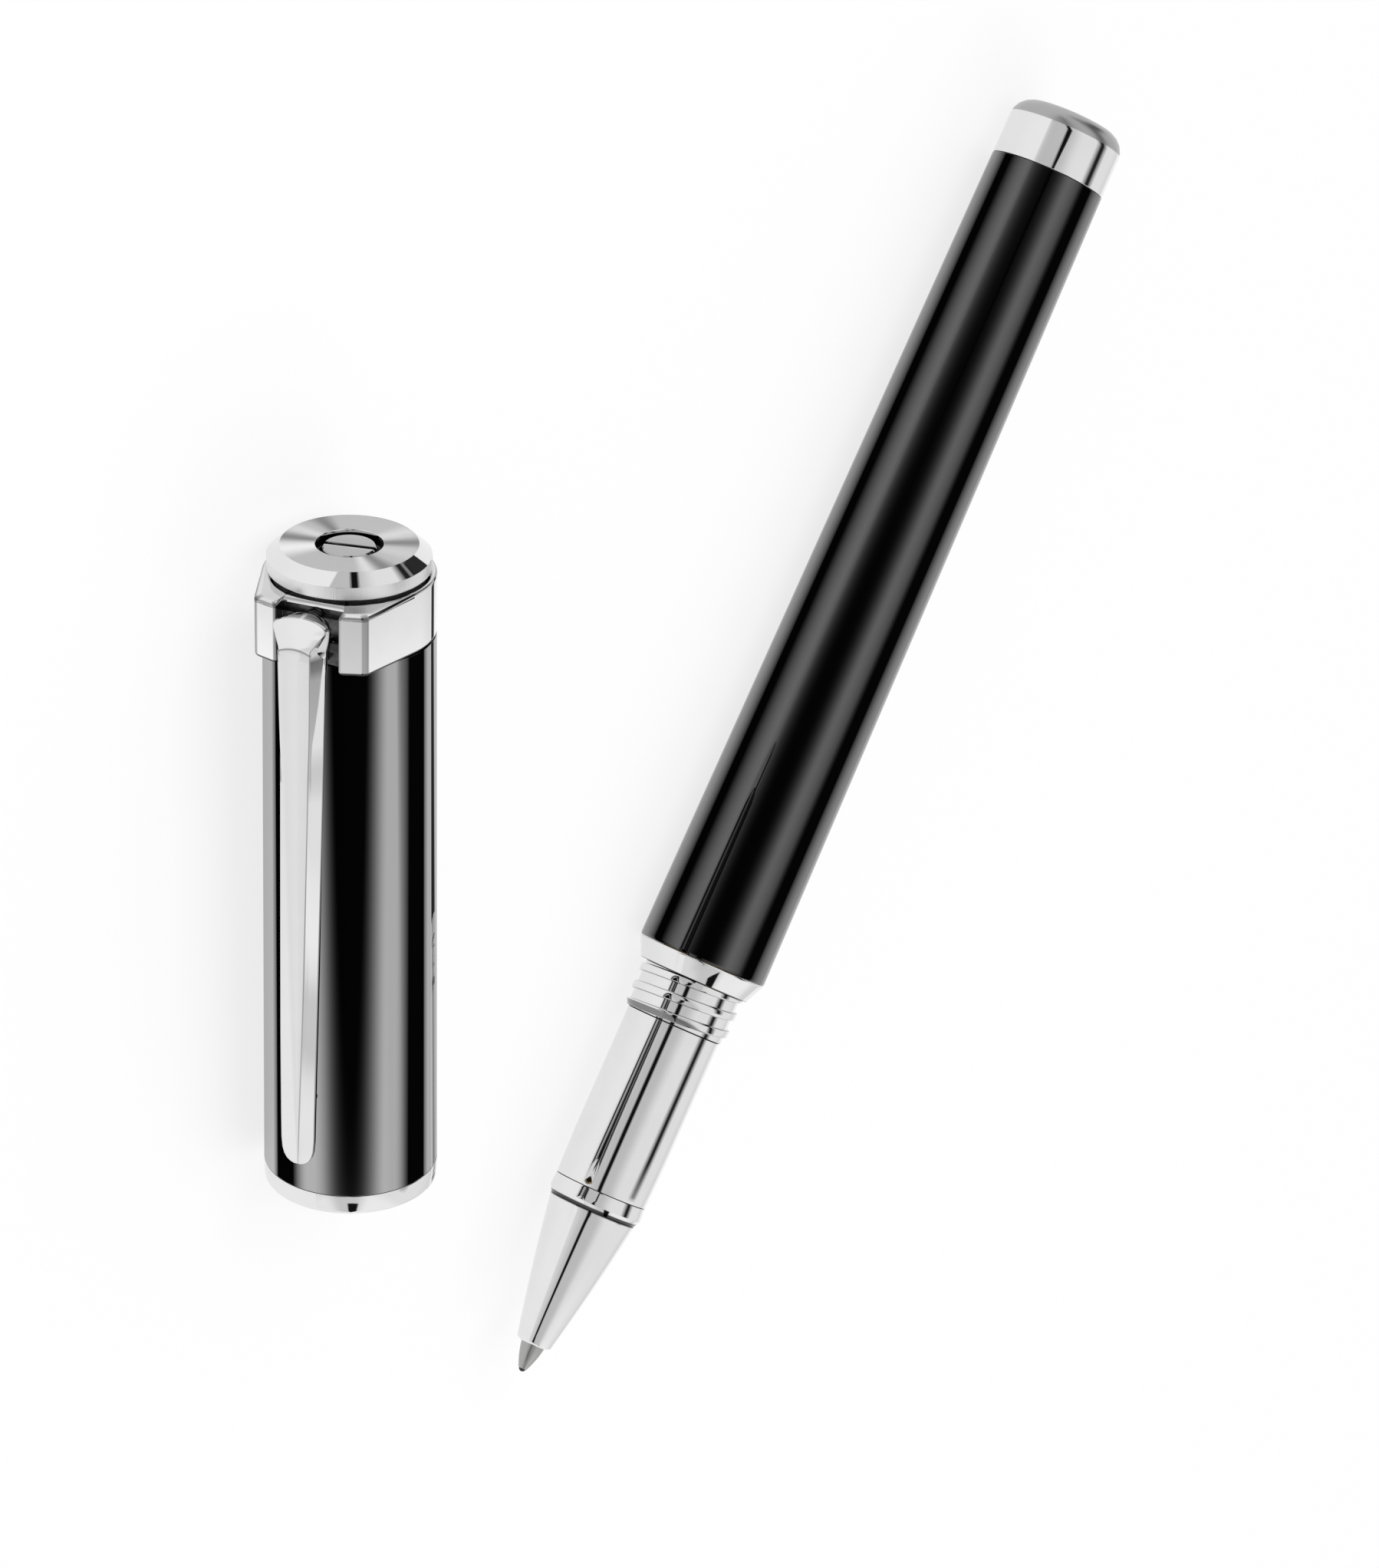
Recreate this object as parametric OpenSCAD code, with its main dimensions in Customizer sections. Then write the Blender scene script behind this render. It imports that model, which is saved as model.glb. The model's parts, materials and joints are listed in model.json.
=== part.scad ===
// Capped rollerball pen, lying on a table with its cap taken off beside it.
// The pen lies along X with the writing tip towards +X. Z is up.
// The origin is on the pen's axis, in the middle of the straight part of the grip.
// Millimetres.

/* [Pen] */
// Distance from the writing ball to the seam between section and barrel
section_len = 41.5; // [40:0.1:43]
// Length of the nose cone and refill tip in front of the front ring
nose_len = 16.4; // [15.5:0.1:17.5]

/* [Barrel] */
// Barrel diameter at its wide front end
barrel_d = 12.4; // [12:0.1:13]
// Barrel diameter at its narrow rear end
barrel_tail_d = 11.0; // [10.8:0.1:11.8]
// Diameter of the hole through the barrel tube
barrel_bore_d = 9.5; // [9.4:0.1:9.9]
// Wall of the brass sleeve inside the barrel
sleeve_wall = 0.65; // [0.5:0.05:0.7]
// Length of the metal end piece
finial_len = 5.9; // [5:0.1:7]
// Radius of the rounded rim of the end piece
finial_round = 2.0; // [1.2:0.1:2.4]
// Length of the plug inside the barrel that carries the end piece
stud_len = 4; // [3:0.1:5]
// Thickness of the spring's seat on that plug
seat_h = 1.1; // [0.8:0.1:1.6]
// Diameter of the plug's neck inside the end piece
stud_neck_d = 7; // [6:0.1:7.6]

/* [Section] */
// Length of the polished cone next to the barrel
cone_len = 1.95; // [1.6:0.05:2.4]
// Diameter of the cone's narrow front edge
cone_front_d = 10.65; // [10.3:0.05:11]
// Length of the collar that carries the cap's thread
thread_len = 4.5; // [4.2:0.1:5]
// Diameter between the ridges of the cap's thread
thread_root_d = 9.4; // [9.3:0.05:9.6]
// Height of the thread's ridges
thread_h = 0.3; // [0.2:0.02:0.36]
// Distance from one ridge to the next
thread_pitch = 1.3; // [1.2:0.05:1.5]
// Diameter of the straight part of the grip
grip_d = 9.08; // [8.9:0.02:9.3]
// Diameter of the grip's waist at the front ring
waist_d = 8.86; // [8.7:0.02:8.9]
// Length of the straight part of the grip
grip_straight = 11; // [9:0.1:12]
// Length of the front ring
ring_len = 1.9; // [1.5:0.1:2.4]
// Greatest diameter of the front ring
ring_d = 9.04; // [8.9:0.02:9.06]
// Diameter of the nose cone's rear edge
nose_back_d = 8.4; // [8.3:0.05:8.6]
// Diameter of the nose cone's front edge
nose_front_d = 3.4; // [3.2:0.05:3.8]
// How far the nose cone's side bulges out of a straight cone
nose_bulge = 0.12; // [0:0.01:0.2]
// Diameter of the core that all pieces of the section sit on
core_d = 7.6; // [7.4:0.05:7.7]
// Diameter of the core's front neck
neck_d = 6.9; // [6.7:0.05:7]
// Length of the core's screw end inside the barrel
screw_len = 9; // [7:0.5:12]
// Thickness of the rubber ring on the core's screw end
oring_d = 0.7; // [0.5:0.05:0.8]

/* [Refill] */
// Length of the refill with its ball
refill_len = 110.5; // [100:0.1:118]
// Diameter of the refill's body
refill_d = 6.1; // [5.9:0.02:6.14]
// Wall of the refill's tube
refill_wall = 0.35; // [0.25:0.05:0.5]
// Diameter of the refill's front shell
shell_d = 3.8; // [3.4:0.1:4]
// Distance from the ball to the front shell
shell_start = 9; // [8.5:0.1:10]
// Diameter of the metal tip
tip_d = 2.3; // [2.2:0.02:2.34]
// Diameter of the bare tip where it holds the ball
tip_front_d = 0.84; // [0.78:0.02:0.9]
// Length of metal tip that shows in front of the nose cone
tip_out = 2.75; // [2.4:0.05:3]
// Diameter of the writing ball
ball_d = 0.7; // [0.5:0.05:0.7]
// Length of the plug in the refill's rear end
plug_len = 4; // [3:0.5:6]
// Length of the room for the spring behind the refill
spring_room = 5.3; // [5:0.1:8]
// Wire diameter of the spring behind the refill
spring_wire = 0.4; // [0.3:0.05:0.5]
// Outer diameter of the spring behind the refill
spring_d = 5; // [4.4:0.1:5.6]
// Turns of the spring behind the refill
spring_turns = 5; // [4:0.5:6]

/* [Cap] */
// Length of the cap
cap_len = 60; // [59:0.1:64]
// Cap diameter at its mouth
cap_mouth_d = 15.04; // [14.8:0.02:15.6]
// Cap tube diameter below the clip collar
cap_top_d = 14.52; // [14.4:0.02:14.8]
// Inner diameter of the cap tube
cap_tube_bore_d = 13.2; // [13.1:0.05:13.5]
// Diameter of the bore that takes the pen's section
cap_bore_d = 10.2; // [10.16:0.02:10.5]
// Length of the cap above the end of that bore
cap_head_len = 16; // [15:0.5:17]
// Height of the metal ring at the mouth
mouth_ring_h = 1.9; // [1.5:0.1:2.5]
// Diameter of the mouth's opening
mouth_open_d = 12.1; // [11.8:0.1:12.3]
// Length of the insert that holds the female thread
insert_len = 6; // [5.5:0.1:7]
// Diameter of the insert
insert_d = 12; // [11.6:0.1:12.1]
// Height of the clip collar
collar_h = 5.55; // [5.3:0.05:5.8]
// Diameter of the collar's ring
collar_d = 14.6; // [14.5:0.02:15.3]
// Diameter of the top disc
disc_d = 13.76; // [13.4:0.02:14.2]
// Diameter of the disc's flat face
disc_face_d = 11.54; // [11:0.02:12]
// Height of the top disc
disc_h = 2.1; // [2:0.05:2.5]
// Height of the disc's upright rim
rim_h = 1.15; // [0.9:0.05:1.3]
// Diameter of the sunk middle of the disc
recess_d = 5.64; // [5.4:0.02:6]
// Depth of the sunk middle
recess_depth = 0.95; // [0.8:0.05:1.1]
// Diameter of the screw's head
screw_head_d = 4.56; // [4.2:0.02:5]
// Height of the screw's head
screw_head_h = 0.75; // [0.6:0.05:0.9]
// Width of the screw's slot
slot_w = 0.55; // [0.4:0.05:0.7]
// Turn of the slot from the clip's direction
slot_turn = 98; // [0:1:180]
// Diameter of the screw's shank
shank_d = 2.4; // [2:0.1:2.8]
// Thickness of the washer between collar and disc
washer_h = 0.25; // [0.2:0.05:0.4]

/* [Clip] */
// Distance from the cap's axis to the clip's front face
clip_r = 11.0; // [10.8:0.05:11.4]
// Distance from the cap's mouth to the clip's end
clip_end_z = 6.7; // [5:0.1:9]
// Thickness of the clip's bar
clip_t = 1.5; // [1.3:0.05:1.7]
// Thickness of the clip's bar at its end
clip_tip_t = 0.7; // [0.5:0.05:1]
// Width of the clip's head
clip_head_w = 4.9; // [4.6:0.1:5.2]
// Width of the clip's bar below the collar
clip_top_w = 4.1; // [3.9:0.1:4.4]
// Width of the clip's bar at its end
clip_tip_w = 3.1; // [2.8:0.1:3.4]
// Width of the flat front panel below the head
panel_w = 2.34; // [2:0.02:2.6]
// Length of the stretch where the panel keeps its width
panel_straight = 9; // [6:0.5:14]
// Slope of the long facets that meet in a ridge at the clip's end
facet_angle = 7; // [5:1:12]
// Slope of the clip's steep flanks
flank_angle = 56; // [50:1:60]
// How much further apart the flanks stand at the clip's end than at its head
flank_spread = 0.5; // [0.3:0.05:0.7]
// Width of the gap between the collar's two ears
window_w = 5.6; // [5.4:0.1:6]
// Distance from the cap's axis to the ears' outer faces
ear_r = 9.05; // [8.9:0.05:9.4]
// Angle between the clip's direction and an ear's outer face
ear_angle = 18; // [16:1:24]
// Width of an ear's outer face
ear_w = 2.35; // [2.1:0.05:2.5]
// Diameter of the clip's pivot pin
pin_d = 0.9; // [0.8:0.05:1]
// Distance from the cap's axis to the pivot pin
pin_r = 7.85; // [7.8:0.05:7.95]
// Length of the pivot pin
pin_len = 7.1; // [6.8:0.1:7.2]
// Depth of the pivot pin below the collar's top
pin_drop = 3.4; // [3.2:0.1:3.6]
// Wire diameter of the clip's spring
clip_wire = 0.22; // [0.18:0.01:0.26]
// Outer diameter of the clip's spring
clip_spring_d = 1.5; // [1.3:0.05:1.6]

/* [Resting place] */
// Angle on the table between the cap and the pen
cap_yaw = 34.7; // [20:0.1:50]
// Middle of the cap's mouth along the pen
mouth_x = 16.75; // [10:0.05:40]
// Middle of the cap's mouth across the pen
mouth_y = -37.2; // [-60:0.1:-30]
// Turn of the clip about the cap's axis, away from straight up
clip_turn = -69; // [-90:1:0]

/* [Fits] */
// Gap on radius between pieces that are fixed to each other
seat_gap = 0.02; // [0.01:0.01:0.05]
// Gap on radius between pieces that slide or turn on each other
run_gap = 0.06; // [0.03:0.01:0.08]
// Gap between faces of pieces that come apart
face_gap = 0.05; // [0.03:0.01:0.1]

/* [Hidden] */
$fn = 96;

// Small bevel on sharp edges
edge = 0.1;

// Places along the pen, as distances from the writing ball
seat_start = refill_len + spring_room;
sleeve_end = seat_start + seat_h;
finial_start = sleeve_end + stud_len;
pen_len = finial_start + finial_len;
cone_start = section_len - cone_len;
thread_start = cone_start - thread_len;
grip_start = nose_len + ring_len;
grip_mid = thread_start - edge - grip_straight / 2;
stop_t = nose_len - 2;
core_start = stop_t + face_gap;
screw_end = section_len + screw_len;

// Radii inside the pen
sleeve_r = barrel_bore_d / 2 - seat_gap;
sleeve_bore_r = sleeve_r - sleeve_wall;
screw_r = sleeve_bore_r - run_gap;
core_bore_r = refill_d / 2 + run_gap;
tube_in_r = refill_d / 2 - refill_wall;
spring_wire_r = spring_wire / 2;

// Places along the cap, as distances from its mouth
insert_start = mouth_ring_h + 0.1;
insert_end = insert_start + insert_len;
disc_start = cap_len - disc_h;
washer_start = disc_start - washer_h;
collar_start = washer_start - collar_h;
cap_bore_depth = cap_len - cap_head_len;
liner_end = cap_bore_depth + 1.4;
recess_z = cap_len - recess_depth;
pin_z = washer_start - pin_drop;
plug_neck_d = 9;
plug_hole_depth = 8;
shank_len = 7;

// The clip's window and ears
ear_in = [
    (ear_r - window_w / 2 * sin(ear_angle)) / cos(ear_angle),
    window_w / 2
];
ear_out = ear_in + ear_w * [-sin(ear_angle), cos(ear_angle)];
ear_turn = atan2(ear_out[1], ear_out[0]);
flat_r = collar_d / 2 - 0.04;
flat_turn = ear_turn + acos(flat_r / norm(ear_out));
flat_end = flat_r * [cos(flat_turn), sin(flat_turn)];
window_back = collar_d / 2 - 0.15;
pocket_r = pin_r - 1.25;
pocket_lip = 0.8;
knuckle_r = 0.92;
head_top = washer_start - 0.5;
head_slope_h = 2.2;
head_slope_r = 1.4;
panel_top = head_top - head_slope_h;
clip_spring_z = pin_z + 1.95;
head_back_r = pin_r + 0.45;
foot_z = clip_end_z + 5;
foot_gap = 0.2;
foot_round = 0.3;
foot_end_r = 0.42;
foot_base_r = 0.95;
clip_in_r = clip_r - clip_t;

// How high the cap's axis lies, with its wider end on the table the pen lies on
cap_rest_z = max(cap_mouth_d, collar_d) / 2 - barrel_d / 2;

// Radius of the cap tube's outside at a distance from the mouth
function cap_r(z) =
    let (f = (z - mouth_ring_h) / (collar_start - mouth_ring_h))
    (cap_mouth_d * (1 - f) + cap_top_d * f) / 2;

// Points of a side that bulges evenly out of a straight line, from a to b
function bulged(a, b, bulge, steps) = [
    for (i = [0:steps])
        let (f = i / steps)
        a + (b - a) * f + [4 * bulge * f * (1 - f), 0]
];

// Points of a round corner about a centre, from one angle to another
function corner(centre, r, from, to, steps) = [
    for (i = [0:steps])
        let (a = from + (to - from) * i / steps)
        centre + r * [cos(a), sin(a)]
];

// A wire bent along a helix with closed ends: faces of a swept ring of points
module coil_spring(coil_d, wire_d, height, turns, steps, sides) {
    r = (coil_d - wire_d) / 2;
    count = ceil(turns * steps);
    rise = height - wire_d;
    rings = [
        for (i = [0:count])
            let (f = i / count, a = 360 * turns * f)
            [for (k = [0:sides - 1])
                let (b = 360 * k / sides, q = r + wire_d / 2 * cos(b))
                [q * cos(a), q * sin(a), wire_d / 2 + rise * f + wire_d / 2 * sin(b)]]
    ];
    points = [for (ring = rings) each ring];
    sides_faces = [
        for (i = [0:count - 1], k = [0:sides - 1])
            let (n = (k + 1) % sides)
            each [
                [i * sides + k, i * sides + n, (i + 1) * sides + n],
                [i * sides + k, (i + 1) * sides + n, (i + 1) * sides + k]
            ]
    ];
    start_face = [[for (k = [0:sides - 1]) sides - 1 - k]];
    end_face = [[for (k = [0:sides - 1]) count * sides + k]];
    polyhedron(points, concat(sides_faces, start_face, end_face));
}

// A tube between two places on its axis
module tube(start, end, outer_r, inner_r) {
    difference() {
        translate([0, 0, start]) cylinder(h = end - start, r = outer_r);
        translate([0, 0, start - 1]) cylinder(h = end - start + 2, r = inner_r);
    }
}

// Sets pieces built along Z, from the writing ball backwards, onto the lying pen
module on_pen() {
    translate([grip_mid, 0, 0]) rotate([0, -90, 0]) children();
}

// Sets pieces built along Z, from the mouth upwards with the clip along X, onto the lying cap
module on_cap() {
    translate([mouth_x, mouth_y, cap_rest_z])
        rotate([0, 0, cap_yaw])
            rotate([0, -90, 0])
                rotate([0, 0, clip_turn])
                    children();
}

// ---- Barrel ----

module barrel_tube() {
    color([0.02, 0.02, 0.02]) on_pen() rotate_extrude()
        polygon([
            [barrel_bore_d / 2, section_len],
            [barrel_d / 2 - edge, section_len],
            [barrel_d / 2, section_len + edge],
            [barrel_tail_d / 2, finial_start],
            [barrel_bore_d / 2, finial_start]
        ]);
}

module barrel_sleeve() {
    color([0.8, 0.63, 0.3]) on_pen()
        tube(section_len + edge, sleeve_end, sleeve_r, sleeve_bore_r);
}

module end_finial() {
    r = barrel_tail_d / 2;
    centre = [r - finial_round - edge / 2, pen_len - finial_round];
    color([0.85, 0.85, 0.87]) on_pen() rotate_extrude()
        polygon(concat(
            [
                [0, finial_start + finial_len * 0.6],
                [stud_neck_d / 2 + seat_gap, finial_start + finial_len * 0.6],
                [stud_neck_d / 2 + seat_gap, finial_start],
                [r, finial_start]
            ],
            corner(centre, finial_round, 0, 90, 12),
            [[0, pen_len]]
        ));
}

module finial_stud() {
    color([0.8, 0.63, 0.3]) on_pen() {
        translate([0, 0, sleeve_end]) cylinder(h = stud_len, r = sleeve_r);
        translate([0, 0, finial_start - edge])
            cylinder(h = finial_len * 0.6 + edge - seat_gap, r = stud_neck_d / 2);
    }
}

module spring_seat() {
    peg_r = spring_d / 2 - spring_wire - run_gap;
    color([0.2, 0.2, 0.22]) on_pen() {
        translate([0, 0, seat_start]) cylinder(h = seat_h, r = sleeve_bore_r - seat_gap);
        translate([0, 0, seat_start - 1]) cylinder(h = 1 + edge, r = peg_r);
    }
}

module refill_spring() {
    color([0.7, 0.7, 0.72]) on_pen() translate([0, 0, refill_len + face_gap])
        coil_spring(spring_d, spring_wire, seat_start - refill_len - 2 * face_gap, spring_turns, 16, 6);
}

// ---- Section ----

module section_core() {
    groove_t = screw_end - 2 * oring_d;
    color([0.8, 0.63, 0.3]) on_pen() difference() {
        rotate_extrude() polygon([
            [0, core_start],
            [neck_d / 2, core_start],
            [neck_d / 2, grip_start],
            [core_d / 2, grip_start],
            [core_d / 2, section_len],
            [screw_r, section_len],
            [screw_r, groove_t - oring_d / 2],
            [screw_r - oring_d * 0.6, groove_t - oring_d / 2],
            [screw_r - oring_d * 0.6, groove_t + oring_d / 2],
            [screw_r, groove_t + oring_d / 2],
            [screw_r, screw_end],
            [0, screw_end]
        ]);
        translate([0, 0, core_start - 1]) cylinder(h = screw_end, r = core_bore_r);
    }
}

module section_seal() {
    groove_t = screw_end - 2 * oring_d;
    color([0.05, 0.05, 0.05]) on_pen()
        tube(groove_t - oring_d * 0.4, groove_t + oring_d * 0.4, screw_r + run_gap / 3, screw_r - oring_d * 0.5);
}

module shoulder_cone() {
    back_d = barrel_d - 4 * edge / 2;
    color([0.85, 0.85, 0.87]) on_pen() rotate_extrude()
        polygon([
            [core_d / 2 + seat_gap, cone_start],
            [cone_front_d / 2, cone_start],
            [back_d / 2, section_len - face_gap - edge],
            [back_d / 2 - edge, section_len - face_gap],
            [core_d / 2 + seat_gap, section_len - face_gap]
        ]);
}

// Ridges round the collar stand where the cap's thread runs
module thread_collar() {
    root_r = thread_root_d / 2;
    crest_r = root_r + thread_h;
    land = thread_pitch * 0.2;
    ridge_half = thread_pitch * 0.3;
    ridges = floor((thread_len - 2 * edge) / thread_pitch);
    color([0.85, 0.85, 0.87]) on_pen() rotate_extrude()
        polygon(concat(
            [
                [core_d / 2 + seat_gap, cone_start],
                [core_d / 2 + seat_gap, thread_start],
                [root_r - 2 * edge, thread_start],
                [root_r, thread_start + 2 * edge]
            ],
            [for (i = [0:ridges - 1])
                let (t = thread_start + 3 * edge + ridge_half + i * thread_pitch)
                each [
                    [root_r, t - ridge_half],
                    [crest_r, t - land / 2],
                    [crest_r, t + land / 2],
                    [root_r, t + ridge_half]
                ]
            ],
            [[root_r, cone_start]]
        ));
}

module grip_sleeve() {
    waist_start = thread_start - edge - grip_straight;
    color([0.85, 0.85, 0.87]) on_pen() difference() {
        rotate_extrude() polygon(concat(
            [
                [0, thread_start],
                [grip_d / 2 - edge, thread_start],
                [grip_d / 2, thread_start - edge]
            ],
            bulged([grip_d / 2, waist_start], [waist_d / 2, grip_start], edge / 4, 6),
            [[0, grip_start]]
        ));
        translate([0, 0, grip_start - 1])
            cylinder(h = thread_start - grip_start + 2, r = core_d / 2 + seat_gap);
    }
}

module front_ring() {
    color([0.85, 0.85, 0.87]) on_pen() difference() {
        rotate_extrude() polygon([
            [0, nose_len],
            [nose_back_d / 2, nose_len],
            [ring_d / 2, nose_len + ring_len * 0.32],
            [ring_d / 2, nose_len + ring_len * 0.45],
            [waist_d / 2, nose_len + ring_len * 0.95],
            [waist_d / 2 - edge / 2, grip_start],
            [0, grip_start]
        ]);
        translate([0, 0, nose_len - 1]) cylinder(h = ring_len + 2, r = neck_d / 2 + seat_gap);
    }
}

module nose_cone() {
    lip = 0.3;
    color([0.85, 0.85, 0.87]) on_pen() difference() {
        rotate_extrude() polygon(concat(
            [[0, tip_out]],
            corner([nose_front_d / 2 - lip, tip_out + lip], lip, -90, -10, 5),
            bulged([nose_front_d / 2, tip_out + lip], [nose_back_d / 2, nose_len - seat_gap], nose_bulge, 16),
            [[0, nose_len - seat_gap]]
        ));
        translate([0, 0, tip_out - 1]) cylinder(h = nose_len, r = tip_d / 2 + run_gap);
        translate([0, 0, shell_start - 1.6]) cylinder(h = nose_len, r = shell_d / 2 + run_gap);
        translate([0, 0, stop_t]) cylinder(h = nose_len, r = neck_d / 2 + seat_gap);
    }
}

// ---- Refill ----

module refill_tube() {
    color([0.75, 0.75, 0.78]) on_pen()
        tube(stop_t + face_gap, refill_len - edge, refill_d / 2, tube_in_r);
}

module refill_shell() {
    step = 2;
    color([0.15, 0.15, 0.16]) on_pen() difference() {
        union() {
            translate([0, 0, shell_start]) cylinder(h = stop_t + step - shell_start, r = shell_d / 2);
            translate([0, 0, stop_t + face_gap]) cylinder(h = step, r = tube_in_r - seat_gap);
        }
        translate([0, 0, shell_start - 1]) cylinder(h = stop_t, r = tip_d / 2 + seat_gap);
    }
}

module refill_tip() {
    socket_r = ball_d / 2 + run_gap / 3;
    color([0.6, 0.6, 0.6]) on_pen() difference() {
        rotate_extrude() polygon(concat(
            [[0, ball_d * 0.45]],
            bulged([tip_front_d / 2, ball_d * 0.45], [tip_d / 2, tip_out], 0.09, 10),
            [[tip_d / 2, shell_start + 3], [0, shell_start + 3]]
        ));
        translate([0, 0, ball_d / 2]) sphere(r = socket_r, $fn = 48);
        translate([0, 0, ball_d / 2]) cylinder(h = nose_len, r = ball_d / 4);
    }
}

module writing_ball() {
    color([0.1, 0.1, 0.1]) on_pen() translate([0, 0, ball_d / 2]) sphere(r = ball_d / 2, $fn = 48);
}

module refill_plug() {
    start = refill_len - plug_len;
    color([0.15, 0.15, 0.16]) on_pen() {
        translate([0, 0, start]) cylinder(h = plug_len - edge, r = tube_in_r - seat_gap);
        translate([0, 0, refill_len - edge]) cylinder(h = edge, r = refill_d / 2);
    }
}

module ink_core() {
    start = stop_t + 2.5;
    color([0.1, 0.12, 0.3]) on_pen() translate([0, 0, start])
        cylinder(h = refill_len - plug_len - start - face_gap, r = tube_in_r - 0.1);
}

// ---- Cap ----

module cap_tube() {
    bore_r = cap_tube_bore_d / 2;
    color([0.02, 0.02, 0.02]) on_cap() difference() {
        rotate_extrude() polygon([
            [0, mouth_ring_h],
            [cap_mouth_d / 2, mouth_ring_h],
            [cap_top_d / 2, collar_start],
            [0, collar_start]
        ]);
        cylinder(h = cap_len, r = bore_r);
    }
}

module mouth_ring() {
    round_r = 0.45;
    out_r = cap_mouth_d / 2;
    sleeve_end_z = mouth_ring_h + 4;
    lip_r = insert_d / 2 - 0.25;
    color([0.85, 0.85, 0.87]) on_cap() rotate_extrude()
        polygon(concat(
            [
                [lip_r, insert_start - seat_gap],
                [lip_r, mouth_ring_h / 2],
                [mouth_open_d / 2, edge],
                [mouth_open_d / 2 + edge, 0]
            ],
            corner([out_r - round_r, round_r], round_r, -90, 0, 8),
            [
                [out_r, mouth_ring_h],
                [cap_tube_bore_d / 2 - seat_gap, mouth_ring_h],
                [cap_tube_bore_d / 2 - seat_gap, sleeve_end_z],
                [insert_d / 2 + seat_gap, sleeve_end_z],
                [insert_d / 2 + seat_gap, insert_start - seat_gap]
            ]
        ));
}

module thread_insert() {
    color([0.8, 0.63, 0.3]) on_cap() tube(insert_start, insert_end, insert_d / 2, cap_bore_d / 2);
}

module cap_liner() {
    color([0.08, 0.08, 0.09]) on_cap() difference() {
        translate([0, 0, insert_end]) cylinder(h = liner_end - insert_end, r = cap_tube_bore_d / 2 - seat_gap);
        translate([0, 0, insert_end - 1]) cylinder(h = cap_bore_depth - insert_end + 1, r = cap_bore_d / 2);
    }
}

module head_plug() {
    color([0.8, 0.63, 0.3]) on_cap() difference() {
        union() {
            translate([0, 0, liner_end])
                cylinder(h = collar_start - liner_end, r = cap_tube_bore_d / 2 - seat_gap);
            translate([0, 0, collar_start - edge])
                cylinder(h = collar_h + edge - seat_gap, r = plug_neck_d / 2);
        }
        translate([0, 0, washer_start - plug_hole_depth])
            cylinder(h = plug_hole_depth + 1, r = shank_d / 2 + seat_gap);
    }
}

module collar_washer() {
    color([0.1, 0.1, 0.1]) on_cap()
        tube(washer_start, disc_start, disc_d / 2 - 0.5, shank_d / 2 + seat_gap);
}

module top_disc() {
    color([0.85, 0.85, 0.87]) on_cap() difference() {
        rotate_extrude() polygon([
            [0, disc_start],
            [disc_d / 2, disc_start],
            [disc_d / 2, disc_start + rim_h],
            [disc_face_d / 2, cap_len],
            [0, cap_len]
        ]);
        translate([0, 0, recess_z]) cylinder(h = recess_depth + 1, r = recess_d / 2);
        cylinder(h = cap_len + 1, r = shank_d / 2 + seat_gap);
    }
}

module slotted_screw() {
    slot_depth = screw_head_h * 0.5;
    head_top_z = recess_z + screw_head_h;
    bevel = 0.15;
    color([0.85, 0.85, 0.87]) on_cap() difference() {
        rotate_extrude() polygon([
            [0, recess_z - shank_len],
            [shank_d / 2, recess_z - shank_len],
            [shank_d / 2, recess_z + seat_gap],
            [screw_head_d / 2, recess_z + seat_gap],
            [screw_head_d / 2, head_top_z - bevel],
            [screw_head_d / 2 - bevel, head_top_z],
            [0, head_top_z]
        ]);
        rotate([0, 0, slot_turn])
            translate([-screw_head_d, -slot_w / 2, head_top_z - slot_depth])
                cube([2 * screw_head_d, slot_w, 2 * slot_depth]);
    }
}

// ---- Clip ----

// One of the two ears that hold the clip, still without its bevels
module collar_ear(side) {
    translate([0, 0, collar_start]) linear_extrude(collar_h)
        polygon([
            [1, side * ear_in[1]],
            [ear_in[0], side * ear_in[1]],
            [ear_out[0], side * ear_out[1]],
            [flat_end[0], side * flat_end[1]],
            [1, side * flat_end[1] * 0.8]
        ]);
}

module clip_collar() {
    ear_tip_r = norm(ear_out);
    color([0.85, 0.85, 0.87]) on_cap() difference() {
        intersection() {
            union() {
                translate([0, 0, collar_start]) cylinder(h = collar_h, r = collar_d / 2);
                collar_ear(1);
                collar_ear(-1);
            }
            rotate_extrude() polygon([
                [0, collar_start],
                [ear_tip_r - 0.4, collar_start],
                [ear_tip_r + 0.1, collar_start + 0.5],
                [ear_tip_r + 0.1, washer_start - 0.45],
                [ear_tip_r - 0.2, washer_start - 0.3],
                [collar_d / 2 + 0.1, washer_start],
                [0, washer_start]
            ]);
        }
        cylinder(h = cap_len, r = plug_neck_d / 2 + seat_gap);
        translate([pocket_r, -window_w / 2, collar_start + pocket_lip])
            cube([ear_r, window_w, collar_h - 2 * pocket_lip]);
        translate([window_back, -window_w / 2, collar_start - 1]) cube([ear_r, window_w, collar_h + 2]);
        translate([pin_r, -pin_len / 2 - seat_gap, pin_z]) rotate([-90, 0, 0])
            cylinder(h = pin_len + 2 * seat_gap, r = pin_d / 2 + seat_gap, $fn = 48);
        translate([pocket_r - 1, 0, clip_spring_z]) rotate([0, 90, 0])
            cylinder(h = 2, r = clip_spring_d / 2 + run_gap, $fn = 48);
    }
}

module clip_pin() {
    color([0.6, 0.6, 0.62]) on_cap() translate([pin_r, -pin_len / 2, pin_z]) rotate([-90, 0, 0])
        cylinder(h = pin_len, r = pin_d / 2, $fn = 48);
}

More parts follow.
